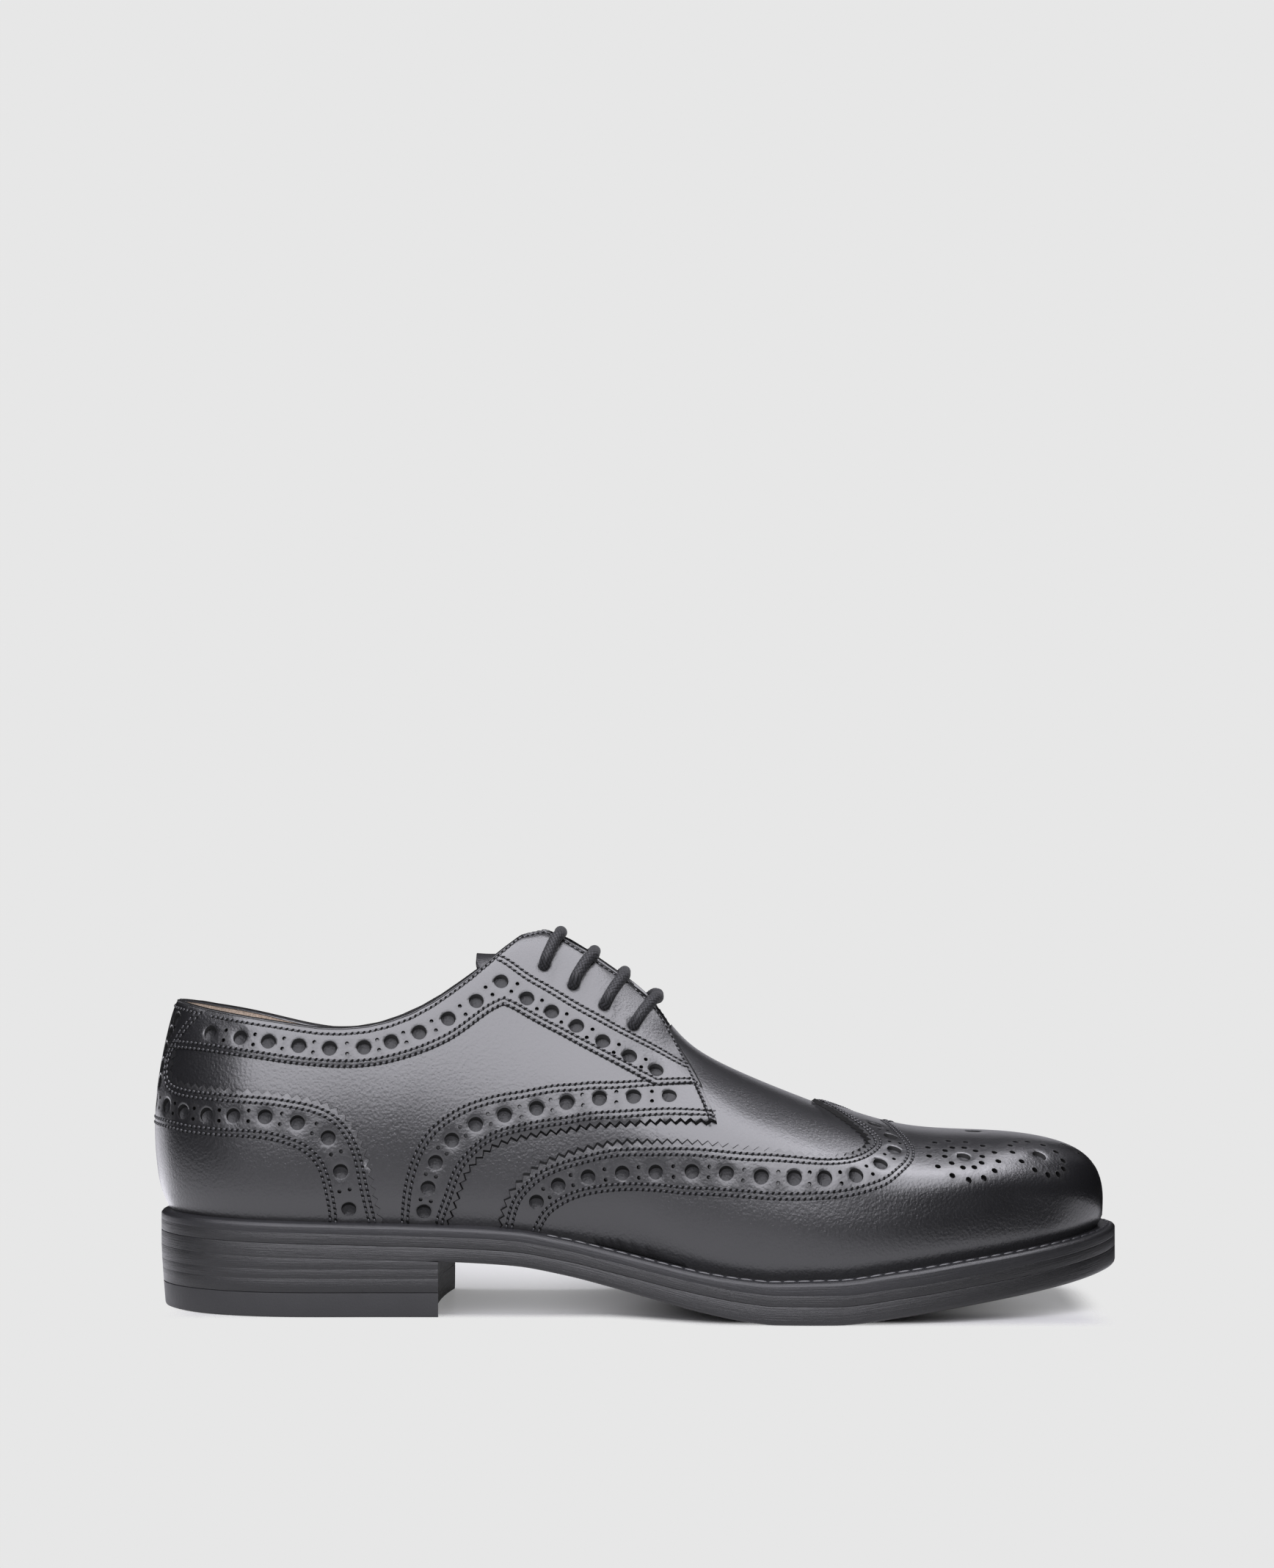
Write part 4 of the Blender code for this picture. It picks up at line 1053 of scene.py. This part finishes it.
def backed(name, groups, radius, low):
    """Dull leather that shows at the bottom of large holes; groups are rows of their centres."""
    verts, faces = [], []
    start = 0
    for rows in groups:
        more, polygons = dishes(rows, radius, low)
        verts.append(more)
        faces += [[i + start for i in polygon] for polygon in polygons]
        start += len(more)
    dress(make(name, np.concatenate(verts), faces, [shared("backing")], sharp=80), "upper_leather")


def stitched(name, rows, lift, sizes):
    """All stitches of one piece as one mesh: a low capsule each, and between each two a dark needle hole, a
    near-black capsule that is painted shade.
    """
    verts, quads, slots = [], [], []
    start = 0
    pitch = sizes.stitch_pitch / MM
    for line in rows:
        s, t = line.T
        line = line[((top_at(s) - t) * rib_length(s) > COLLAR_CLEAR) | (row_of(s) < 8)]
        points, along, normal = seam(line, lift, pitch)
        slant = unit(along * 0.75 + np.cross(normal, along) * 0.65)
        # thread capsules, then near-black needle-hole capsules that paint the shade of the holes
        kinds = [
            (points + 0.06 * normal, along, (sizes.stitch_length / MM, *STITCH)),
            (points + along * (pitch / 2) - 0.01 * normal, slant, NEEDLE),
        ]
        for slot, (places, way, size) in enumerate(kinds):
            more, faces = capsules(places, way, normal, *size)
            verts.append(more)
            quads.append(faces + start)
            slots.append(np.full(len(faces), slot))
            start += len(more)
    obj = make(name, np.concatenate(verts), np.concatenate(quads), [shared("thread"), shared("pit")],
               np.concatenate(slots))
    dress(obj, "upper_leather")


def hole_sizes(sizes):
    """Radius of large holes, radius of pinholes and half the spread of their pairs, in millimetres."""
    return sizes.hole / MM / 2, sizes.pinhole / MM / 2, sizes.pair_spread / MM


def collar_holes(sizes):
    """Holes of collar band and facing, which pass through the quarter as well."""
    punch = hole_sizes(sizes)
    corner = punched([BAND_HOLES[-1], STAY_HOLES[0]], *punch)[2:]
    return punched(BAND_HOLES, *punch) + punched(STAY_HOLES, *punch) + corner + circles(EYELETS, EYELET, EYELET_SIDES)


def block(levels, lateral, medial, bow, across):
    """Closed block of stacked outlines, rows of (inset from the sole's edge, height over plan) from low to high.

    Lateral and medial stations face each other and are joined by straight rows; bow bends the first row."""
    share = np.linspace(0, 1, across + 1)
    sheets = []
    for inset, height in levels:
        left = edge(lateral, inset)
        right = edge(medial, inset)
        plan = left[:, None] * (1 - share)[None, :, None] + right[:, None] * share[None, :, None]
        plan[0, :, 0] += bow * (1 - (2 * share - 1) ** 2)
        sheets.append(np.dstack([plan, height(plan[..., 0])]))
    grid = np.stack(sheets)
    return grid.reshape(-1, 3), slab_faces(numbered(grid))


def fine_stations(count):
    """Stations of one side, closer together round toe and heel."""
    u = np.linspace(0, 1, count)
    return 0.02 + (HEEL_BACK - 0.04) * (0.72 * u + 0.28 * (u - np.sin(4 * np.pi * u) / (4 * np.pi)))


def all_round(one):
    """Stations of one side and of the other, with toe tip and heel back."""
    return np.concatenate([[0.0], one, [HEEL_BACK], LOOP - one[::-1]])


class SHOE_OT_stage(bpy.types.Operator):
    """Floor, backdrop, soft lights and the camera of the photograph"""

    bl_idname = "shoe.stage"
    bl_label = "Stage"

    def execute(self, context):
        colours = context.scene.shoe_colours
        self.floor(colours)
        world = bpy.data.worlds.new("backdrop")
        world.use_nodes = True
        world.node_tree.nodes["Background"].inputs["Color"].default_value = tint(colours.backdrop)
        context.scene.world = world
        world.cycles_visibility.glossy = False
        for name, at, towards, size, power, roll in LAMPS:
            lamp = bpy.data.lights.new(name, "AREA")
            lamp.shape = "ELLIPSE" if name == "floor_glow" else "RECTANGLE"
            lamp.size, lamp.size_y = size
            lamp.energy = power
            lamp.color = LAMP_COLOUR
            obj = bpy.data.objects.new(name, lamp)
            obj.location = at
            obj.visible_diffuse = name == "key"
            obj.visible_camera = False
            turn = (Vector(towards) - Vector(at)).to_track_quat("-Z", "Y")
            obj.rotation_euler = (turn @ Quaternion((0.0, 0.0, 1.0), math.radians(roll))).to_euler()
            context.scene.collection.objects.link(obj)
        camera = bpy.data.cameras.new("camera")
        camera.sensor_fit = "VERTICAL"
        camera.sensor_height = 36.0
        camera.lens = camera.sensor_height / 2 / math.tan(math.radians(VIEW_ANGLE / 2))
        eye = bpy.data.objects.new("camera", camera)
        eye.location = EYE
        eye.rotation_euler = (math.radians(90), 0.0, 0.0)
        context.scene.collection.objects.link(eye)
        context.scene.camera = eye
        context.scene.view_settings.view_transform = "Standard"
        return {"FINISHED"}

    def floor(self, colours):
        """Level sheet that shows under and close to the shoe and fades out; under the arch it glows, painted light
        standing in for light coming back up.
        """
        look = Finish("pale_floor", base_color=tint(colours.floor), roughness=0.38, specular_ior_level=0.35,
                      emission_strength=1.0)
        w = look.wire
        x, y = w.x_and_y(look.place)
        # gap is 1 away from the forefoot's contact and behind the sole's front: there the floor glows, painted light
        gap = w.ramp(w.math("ABSOLUTE", x - 0.05), 0.03, 0.085) * w.ramp(y, -0.04, -0.02)
        side = 1 - w.ramp(w.math("ABSOLUTE", x), 0.134, 0.147)
        front = y - (1 - w.ramp(x, -0.015, 0.03)) * 0.018
        look.paint(emission_color=w.mixed(gap, tint((0.0,) * 3), tint((0.2,) * 3)),
                   alpha=side * w.ramp(front, -0.056, -0.042) * (1 - w.ramp(y, 0.1, 0.2)))
        line = np.linspace(-FLOOR_HALF, FLOOR_HALF, 15)
        u, v = np.meshgrid(line, line, indexing="ij")
        grid = np.stack([u, v, 0 * u - 0.02], -1)
        floor = make("floor", grid.reshape(-1, 3), grid_faces(numbered(grid)), [look.material])
        if floor.data.polygons[0].normal.z < 0:
            floor.data.flip_normals()


class SHOE_OT_sole(bpy.types.Operator):
    """Outsole, midsole, heel stack and top lift with dressed edges"""

    bl_idname = "shoe.sole"
    bl_label = "Sole and heel"

    def execute(self, context):
        colours = context.scene.shoe_colours
        material = edge_leather("sole_edge", colours, 0.42, 0.44, 0.1, 0.72)
        # The heel breast faces away from the light: a darker, duller copy of the edge finish paints its shade
        self.breast = edge_leather("heel_breast_painted_shade", colours, 0.25, 0.6, 0.06, 0.15)
        stations = np.sort(np.append(fine_stations(220), FLAT_SPOT))

        def over(amount):
            return lambda x: sole_bottom(x) + amount

        def under(amount):
            return lambda x: sole_top(x) - amount

        low = WELT_THICK + MIDSOLE_THICK + GAP
        free = np.clip((edge(stations)[:, 0] + 64) / 8, 0, 1)
        bevel = [(1.15 * free + 0.05, over(0.0)), (0.55 * free, over(0.25)), (0.15 * free, over(0.7)),
                 (0.0, over(1.3))]
        round_top = [(0.0, under(low + 0.22)), (0.05, under(low + 0.1)), (0.16, under(low + 0.03))]
        self.layer("outsole", bevel + round_top, stations, LOOP - stations, material)
        levels = [(0.16, under(low)), (0.05, under(low - 0.08)), (0.0, under(low - 0.2)),
                  (0.0, under(WELT_THICK + 0.16)), (0.04, under(WELT_THICK + 0.03))]
        self.layer("midsole", levels, stations, LOOP - stations, material)

        def height(z):
            return lambda x: 0 * x + z

        def inset(z):
            return HEEL_TAPER * (1 - z / SOLE[1, 1])

        search = np.linspace(8, 12, 401)
        first = np.interp(-BREAST_LATERAL, -edge(search)[:, 0], search)
        last = LOOP - np.interp(-BREAST_MEDIAL, -edge(LOOP - search)[:, 0], search)
        rear = stations[stations > first + 0.08]
        lateral = np.append(first, rear)
        medial = np.append(last, LOOP - rear)
        levels = [(inset(7.7) + 0.18, height(7.68)), (inset(7.8), height(7.85))]
        for z in HEEL_SEAMS:
            levels += [(inset(z) + d, height(z + rise)) for d, rise in ((0.01, -0.1), (0.05, 0), (0.01, 0.1))]
        levels += [(0.0, under(HEEL_SOLE + 0.14)), (0.05, under(HEEL_SOLE + 0.02))]
        self.layer("heel_stack", levels, lateral, medial, material, BREAST_BOW, 14)
        levels = [(inset(0.0) + 0.8, height(0.0)), (inset(0.3) + 0.25, height(0.2)), (inset(0.8), height(0.8)),
                  (inset(TOP_LIFT), height(TOP_LIFT - 0.15)), (inset(TOP_LIFT) + 0.18, height(TOP_LIFT))]
        self.layer("top_lift", levels, lateral, medial, heel_rubber(colours), BREAST_BOW, 14, "heel_rubber")
        return {"FINISHED"}

    def layer(self, name, levels, lateral, medial, material, bow=0.0, across=6, slot="sole_leather"):
        """A block of the sole; the front face of a bowed one is the heel breast and takes a darker, duller copy of
        the edge finish, painted shade.
        """
        verts, faces = block(levels, lateral, medial, bow, across)
        depth = verts[:, 2] - (sole_bottom(verts[:, 0]) if bow == 0 else 0)
        sheets = 2 * across * (len(lateral) - 1)
        round_edge = 2 * (across + len(lateral) - 1)
        slots = np.zeros(len(faces), int)
        slots[sheets:] = (np.arange(len(faces) - sheets) % round_edge < across) & (bow != 0)
        obj = make(name + "_dressed", verts, faces, [material, self.breast], slots, sharp=50, values={"layer": depth})
        dress(obj, slot, name)


class SHOE_OT_welt(bpy.types.Operator):
    """Welt round the foot with its bevel and the heavy welt stitches"""

    bl_idname = "shoe.welt"
    bl_label = "Welt"

    def execute(self, context):
        """A profile of (inset, rise over the sole's top) carried round the sole's edge."""
        colours = context.scene.shoe_colours
        material = edge_leather("welt_edge", colours, 1.15, 0.42, 0.06, 0.4)
        polished = edge_leather("welt_bevel", colours, 0.9, 0.36, 0.8, 0.5)
        s = all_round(fine_stations(330))
        inner = welt_width(s) + WALL + 1.6
        profile = [(0.04, -3.0), (0.0, -2.9), (0.0, -1.2), (0.08, -1.0), (0.6, -0.36), (1.1, -0.06), (1.4, 0.0),
                   (2.8, 0.35), (inner, 0.35), (inner, -3.0)]
        bevel_rows = (3, 4)
        loops = []
        for inset, rise in profile:
            plan = edge(s, inset)
            prouder = welt_rise(plan[:, 0]) * (rise > -2.0)
            loops.append(np.column_stack([plan, sole_top(plan[:, 0]) + rise + prouder]))
        grid = np.stack(loops)
        verts = grid.reshape(-1, 3)
        faces = grid_faces(numbered(grid), True, True)
        slots = np.isin(np.arange(len(faces)) // len(s), bevel_rows).astype(int)
        obj = make("welt_dressed", verts, faces, [material, polished], slots, sharp=50,
                   values={"layer": verts[:, 2] - sole_bottom(verts[:, 0])})
        dress(obj, "sole_leather", "welt")
        self.stitches()
        return {"FINISHED"}

    def stitches(self):
        """Heavy stitches in a row along the welt, inside its bevel."""
        s = np.linspace(-8.6, 8.6, 1801) % LOOP
        plan = edge(s, np.minimum(2.4, welt_width(s) * 0.5))
        points = np.column_stack([plan, sole_top(plan[:, 0]) + welt_rise(plan[:, 0]) + 0.25])
        way = walked(points)
        at = np.arange(WELT_PITCH / 2, way[-1], WELT_PITCH)
        along = unit(picked(at, way, np.gradient(points, axis=0)))
        normal = unit(np.cross(along, np.cross([0.0, 0.0, 1.0], along)))
        verts, quads = capsules(picked(at, way, points), along, normal, *WELT_STITCH)
        dress(make("welt_stitches", verts, quads, [shared("thread")]), "sole_leather")


class SHOE_OT_upper(bpy.types.Operator):
    """Vamp and lining as one hollow form, with the bound edge of collar and throat"""

    bl_idname = "shoe.upper"
    bl_label = "Upper and lining"

    def execute(self, context):
        colours = context.scene.shoe_colours
        s = all_round(np.unique(np.concatenate([fine_stations(200), [THROAT_START, THROAT_START + 0.03]])))
        t = top_share(s)[:, None] * np.linspace(0, 1, 49)[None, :]
        grid = np.stack([skin(s[:, None], t), skin(s[:, None], t, -WALL)])
        n = numbered(grid)
        closed = row_of(s) <= THROAT_START
        open_top = ~(closed & np.roll(closed, -1))
        strips = [
            grid_faces(n[0], True),
            grid_faces(n[1], True)[:, ::-1],
            grid_faces(n[::-1, :, -1].T, True)[open_top],
            grid_faces(n[:, :, 0].T, True),
        ]
        slots = np.concatenate([np.full(len(f), k) for k, f in zip((0, 1, 0, 0), strips)])
        lining = lining_leather("lining", colours.lining)
        obj = make("upper_skin", grid.reshape(-1, 3), np.concatenate(strips), [shared("calf"), lining], slots,
                   sharp=60, merge=0.02)
        dress(obj, "upper_leather", "upper")
        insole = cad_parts["insole"]
        insole.data.materials.clear()
        insole.data.materials.append(lining_leather("sock", tint(colours.lining, 0.8)[:3]))
        self.binding()
        return {"FINISHED"}

    def binding(self):
        """Rolled edge: a half-round bead from lining to outer leather along the upper's free edge."""
        s = np.linspace(FACING_START - 0.35, LOOP - FACING_START + 0.35, 700)
        t = top_at(s)
        over = np.where(np.abs(s - HEEL_BACK) < 1.15, COUNTER_LIFT[1], BAND_LIFT[1])
        over = over * np.clip((row_of(s) - 7.2) / 0.5, 0.2, 1)
        inner = skin(s, t, -WALL - 0.15)
        outer = skin(s, t, over + 0.1)
        middle = (inner + outer) / 2
        half = (outer - inner) / 2
        along = unit(np.gradient(middle, axis=0))
        up = unit(np.cross(along, unit(half)))
        up = up * np.sign(up[:, 2:3])
        angle = np.linspace(-0.35, np.pi + 0.35, 13)
        height = np.linalg.norm(half, axis=-1)[:, None] * 0.28
        grid = (
            middle[:, None]
            + np.cos(angle)[None, :, None] * half[:, None]
            + np.sin(angle)[None, :, None] * (up * height)[:, None]
        )
        obj = make("collar_binding", grid.reshape(-1, 3), tube_faces(numbered(grid)), [shared("calf")], sharp=60)
        dress(obj, "upper_leather")


class SHOE_OT_wing_cap(bpy.types.Operator):
    """Wing cap with gimped edge, punched band and toe medallion"""

    bl_idname = "shoe.wing_cap"
    bl_label = "Wing cap"

    def execute(self, context):
        sizes = context.scene.shoe_sizes
        line = gimped(WING_EDGE, sizes)
        foot = foot_line(line[0, 0], 0, 130)
        tip = np.linspace(0, 1, 6)[1:-1]
        outline = np.concatenate([
            line[::-1], foot, np.stack([0 * tip, tip], -1), [[0.0, 1.0]],
            np.stack([0 * tip + LOOP, tip[::-1]], -1), mirror(foot)[::-1], mirror(line)[:-1],
        ])
        punch = hole_sizes(sizes)
        big = punch[0]
        holes = both(punched(WING_HOLES, *punch) + self.medallion(big, sizes.toe_pinhole / MM / 2))
        holes += circles([TOE_HOLE], big, HOLE_SIDES)
        holes = [np.stack(fold(*hole.T), -1) for hole in holes]
        laid("wing_cap_leather", "wing_cap", outline, holes, WING_LIFT, 2.0, folded=True)
        lobes = [lobe[:2] for lobe in LOBES]
        backed("wing_cap_backing", [WING_HOLES, mirror(WING_HOLES), lobes, mirror(lobes), [TOE_HOLE]], big, 0.1)
        stitched("wing_cap_stitches", both(seam_rows(WING_EDGE, WING_LOW, -1)), WING_LIFT[1], sizes)
        return {"FINISHED"}

    def medallion(self, big, toe):
        """Lobes of the toe's ornament: a large hole with rings of pinholes, and a trail over the toe's front."""
        holes = []
        for s, t, rings in LOBES:
            holes += circles([(s, t)], big * 0.95, HOLE_SIDES)
            for radius, count in rings:
                centres = circles([(s, t)], radius, count)[0]
                holes += circles(centres[centres[:, 1] < 0.985], toe, TOE_SIDES)
        return holes + circles(TOE_PINHOLES, toe, TOE_SIDES)


class SHOE_OT_quarters(bpy.types.Operator):
    """Quarters of both sides with gimped lower edge and punched strip"""

    bl_idname = "shoe.quarters"
    bl_label = "Quarters"

    def execute(self, context):
        sizes = context.scene.shoe_sizes
        line = gimped(QUARTER_EDGE, sizes)
        under = beside(even(COUNTER_EDGE, 2.0), 2.6)
        foot = foot_line(line[-1, 0], 12.2, 26)
        foot = foot[foot[:, 0] < under[0, 0]]
        collar = collar_line(under[-1, 0] + 0.05, FACING_START)
        outline = np.concatenate([line, foot, under[:-2], collar, even(FACING, 1.4)[1:-1]])
        punch = hole_sizes(sizes)
        holes = punched(QUARTER_HOLES, *punch) + collar_holes(sizes)
        rows = seam_rows(QUARTER_EDGE, QUARTER_UP, -1)
        for side, turn in SIDES:
            laid("quarter_leather_" + side, "quarter_" + side, turn(outline), [turn(h) for h in holes],
                 QUARTER_LIFT, 2.0)
            backed("quarter_backing_" + side, [turn(QUARTER_HOLES)], punch[0], 0.1)
            stitched("quarter_stitches_" + side, [turn(r) for r in rows], QUARTER_LIFT[1], sizes)
        return {"FINISHED"}


class SHOE_OT_collar_bands(bpy.types.Operator):
    """Punched collar bands with the facings"""

    bl_idname = "shoe.collar_bands"
    bl_label = "Collar bands"

    def execute(self, context):
        sizes = context.scene.shoe_sizes
        low = np.concatenate([even(BAND_LOW, 1.6), even(STAY_LOW, 1.6)[1:], even(STAY_END, 1.6)[1:]])
        low = beside(low, -1.5)
        front = even(FACING, 1.4)
        front = front[front[:, 1] > low[-1, 1] + 0.01]
        end = 14.25
        strap = even([(end, top_at(end)), (14.5, 0.85), (14.55, 0.78), low[0]], 2.0, smooth=False)
        outline = np.concatenate([low, front[::-1], collar_line(FACING_START, end)[1:], strap[1:-1]])
        holes = collar_holes(sizes)
        seams = [even(line, 1.0) for line in (STAY_UP, BAND_LOW, STAY_LOW, STAY_CROSS)]
        rows = [beside(line, d) for line in seams for d in PAIR_ROWS]
        rows += [collar_line(13.8, FACING_START + 0.1, COLLAR_ROW, 0.8), beside(even(FACING, 1.0), -1.7)]
        for side, turn in SIDES:
            laid("collar_band_leather_" + side, "collar_band_" + side, turn(outline), [turn(h) for h in holes],
                 BAND_LIFT, 1.7, bevel=0.45)
            backed("collar_backing_" + side, [turn(BAND_HOLES + STAY_HOLES)], hole_sizes(sizes)[0], 0.25)
            stitched("collar_stitches_" + side, [turn(r) for r in rows], BAND_LIFT[1], sizes)
        return {"FINISHED"}


class SHOE_OT_heel_counter(bpy.types.Operator):
    """Heel counter and backstrap, gimped and punched"""

    bl_idname = "shoe.heel_counter"
    bl_label = "Heel counter"

    def execute(self, context):
        sizes = context.scene.shoe_sizes
        line = gimped(COUNTER_EDGE, sizes)
        collar = collar_line(line[-1, 0], HEEL_BACK)
        half = np.concatenate([line, collar[1:-1]])
        foot = foot_line(LOOP - line[0, 0], line[0, 0], 90)[:-1]
        outline = np.concatenate([half, collar[-1:], mirror(half)[::-1], foot])
        big, small, spread = hole_sizes(sizes)
        holes = both(punched(COUNTER_HOLES, big, small, spread) + punched(STRAP_HOLES, big * 0.9, small, spread))
        laid("heel_counter_leather", "heel_counter", outline, holes, COUNTER_LIFT, 1.9)
        groups = [turn(rows) for rows in (COUNTER_HOLES, STRAP_HOLES) for _, turn in SIDES]
        backed("heel_counter_backing", groups, big, 0.2)
        rows = seam_rows(COUNTER_EDGE, COUNTER_LOW, 1) + [collar_line(13.95, HEEL_BACK, COLLAR_ROW, 0.8)]
        stitched("heel_counter_stitches", both(rows), COUNTER_LIFT[1], sizes)
        return {"FINISHED"}


class SHOE_OT_tongue(bpy.types.Operator):
    """Tongue under the throat"""

    bl_idname = "shoe.tongue"
    bl_label = "Tongue"

    def execute(self, context):
        """Arches along a middle line: y = side + half u, z falls with the 1.8th power of u; two faces and a rim."""
        count, round_from = 90, 78
        x, z, half, drop = spline(TONGUE, np.linspace(0, len(TONGUE) - 1, count)).T[..., None]
        u = np.linspace(-1, 1, 41)[None, :]
        end = np.clip((np.arange(count) - round_from) / (count - 1 - round_from), 0, 1)[:, None] ** 2
        y = TONGUE_SIDE + half * u * (1 - 0.05 * end)
        top = np.dstack([x + 4.0 * end * u**4, y, z - drop * np.abs(u) ** 1.8])
        normal = unit(np.cross(np.gradient(top, axis=1), np.gradient(top, axis=0)))
        grid = np.stack([top, top - TONGUE_THICK * normal])
        obj = make("tongue_leather", grid.reshape(-1, 3), slab_faces(numbered(grid)), [shared("calf")], sharp=50)
        bevel = obj.modifiers.new("edge", "BEVEL")
        bevel.width = 0.0005
        bevel.segments = 2
        bevel.limit_method = "ANGLE"
        dress(obj, "upper_leather", "tongue")
        return {"FINISHED"}


class SHOE_OT_laces(bpy.types.Operator):
    """Lace bars from eyelet to eyelet over the throat"""

    bl_idname = "shoe.laces"
    bl_label = "Laces"

    def execute(self, context):
        material = lace_finish(context.scene.shoe_colours)
        radius = context.scene.shoe_sizes.lace / MM / 2
        for number, (eyelet, crossing) in enumerate(zip(EYELETS, CROSSINGS), start=1):
            tube, crown = self.braid(self.path(np.array(eyelet), crossing, radius), radius)
            obj = make(f"lace_{number}", tube.reshape(-1, 3), tube_faces(numbered(tube)), [material], sharp=180,
                       values={"crown": crown.ravel()}, merge=0.0001)
            dress(obj, "lace", f"lace_bar_{number}")
        return {"FINISHED"}

    def path(self, eyelet, crossing, radius):
        """Out of the eyelet, along the facing to the throat, over the gap and down the other side, as a spline."""
        top = np.array([crossing, top_share(np.array([crossing]))[0]])
        share = np.array([0.0, 0.02, 0.10, 0.25, 0.5, 0.75, 1.0])
        lift = BAND_LIFT[1] + radius * np.array([-2.6, -0.9, 0.75, 1.05, 1.05, 1.05, 0.95]) + 0.1
        s, t = (eyelet + (top - eyelet) * share[:, None]).T
        lateral = skin(s, t, lift)
        medial = skin(LOOP - s, t, lift)
        middle = (lateral[-1] + medial[-1]) / 2 + [0, 0, 0.5]
        rows = np.concatenate([lateral, middle[None], medial[::-1]])
        dense = spline(rows, np.linspace(0, len(rows) - 1, 600))
        way = walked(dense)
        return picked(np.linspace(0, way[-1], 260), way, dense)

    def braid(self, path, radius):
        """Round tube whose radius swells over two families of strands that cross over and under by turns."""
        strands, pitch = 8, 1.55
        along = unit(np.gradient(path, axis=0))
        aside = unit(np.cross(along, [1.0, 0.0, 0.6]))
        over = np.cross(along, aside)
        way = walked(path)[:, None] / pitch
        angle = np.linspace(0, 2 * np.pi, 48, endpoint=False)
        turn = angle[None, :] / (2 * np.pi) * strands
        left, right = turn + way, turn - way
        one, two = (1 - (2 * (k % 1) - 1) ** 2 for k in (left, right))
        crown = np.where((np.floor(left) + np.floor(right)) % 2 == 0, one, two)
        size = radius * (0.90 + 0.10 * crown)[..., None]
        round_way = np.cos(angle)[None, :, None] * aside[:, None] + np.sin(angle)[None, :, None] * over[:, None]
        return path[:, None] + size * round_way, crown


class SHOE_PT_panel(bpy.types.Panel):
    """Sizes, colours and pieces of the shoe"""

    bl_idname = "SHOE_PT_panel"
    bl_label = "Wingtip derby shoe"
    bl_space_type = "VIEW_3D"
    bl_region_type = "UI"
    bl_category = "Shoe"

    def draw(self, context):
        for group in (context.scene.shoe_sizes, context.scene.shoe_colours):
            box = self.layout.box()
            for key in type(group).__annotations__:
                box.prop(group, key)
        for operator in OPERATORS:
            self.layout.operator(operator.bl_idname)


OPERATORS = (
    SHOE_OT_stage, SHOE_OT_upper, SHOE_OT_wing_cap, SHOE_OT_quarters, SHOE_OT_collar_bands, SHOE_OT_heel_counter,
    SHOE_OT_tongue, SHOE_OT_laces, SHOE_OT_sole, SHOE_OT_welt,
)
CLASSES = (ShoeSizes, ShoeColours, *OPERATORS, SHOE_PT_panel)


def register():
    for cls in CLASSES:
        bpy.utils.register_class(cls)
    bpy.types.Scene.shoe_sizes = bpy.props.PointerProperty(type=ShoeSizes)
    bpy.types.Scene.shoe_colours = bpy.props.PointerProperty(type=ShoeColours)


def unregister():
    del bpy.types.Scene.shoe_colours
    del bpy.types.Scene.shoe_sizes
    for cls in reversed(CLASSES):
        bpy.utils.unregister_class(cls)


def main():
    register()
    for operator in OPERATORS:
        group, name = operator.bl_idname.split(".")
        getattr(getattr(bpy.ops, group), name)()


if __name__ == "__main__":
    main()
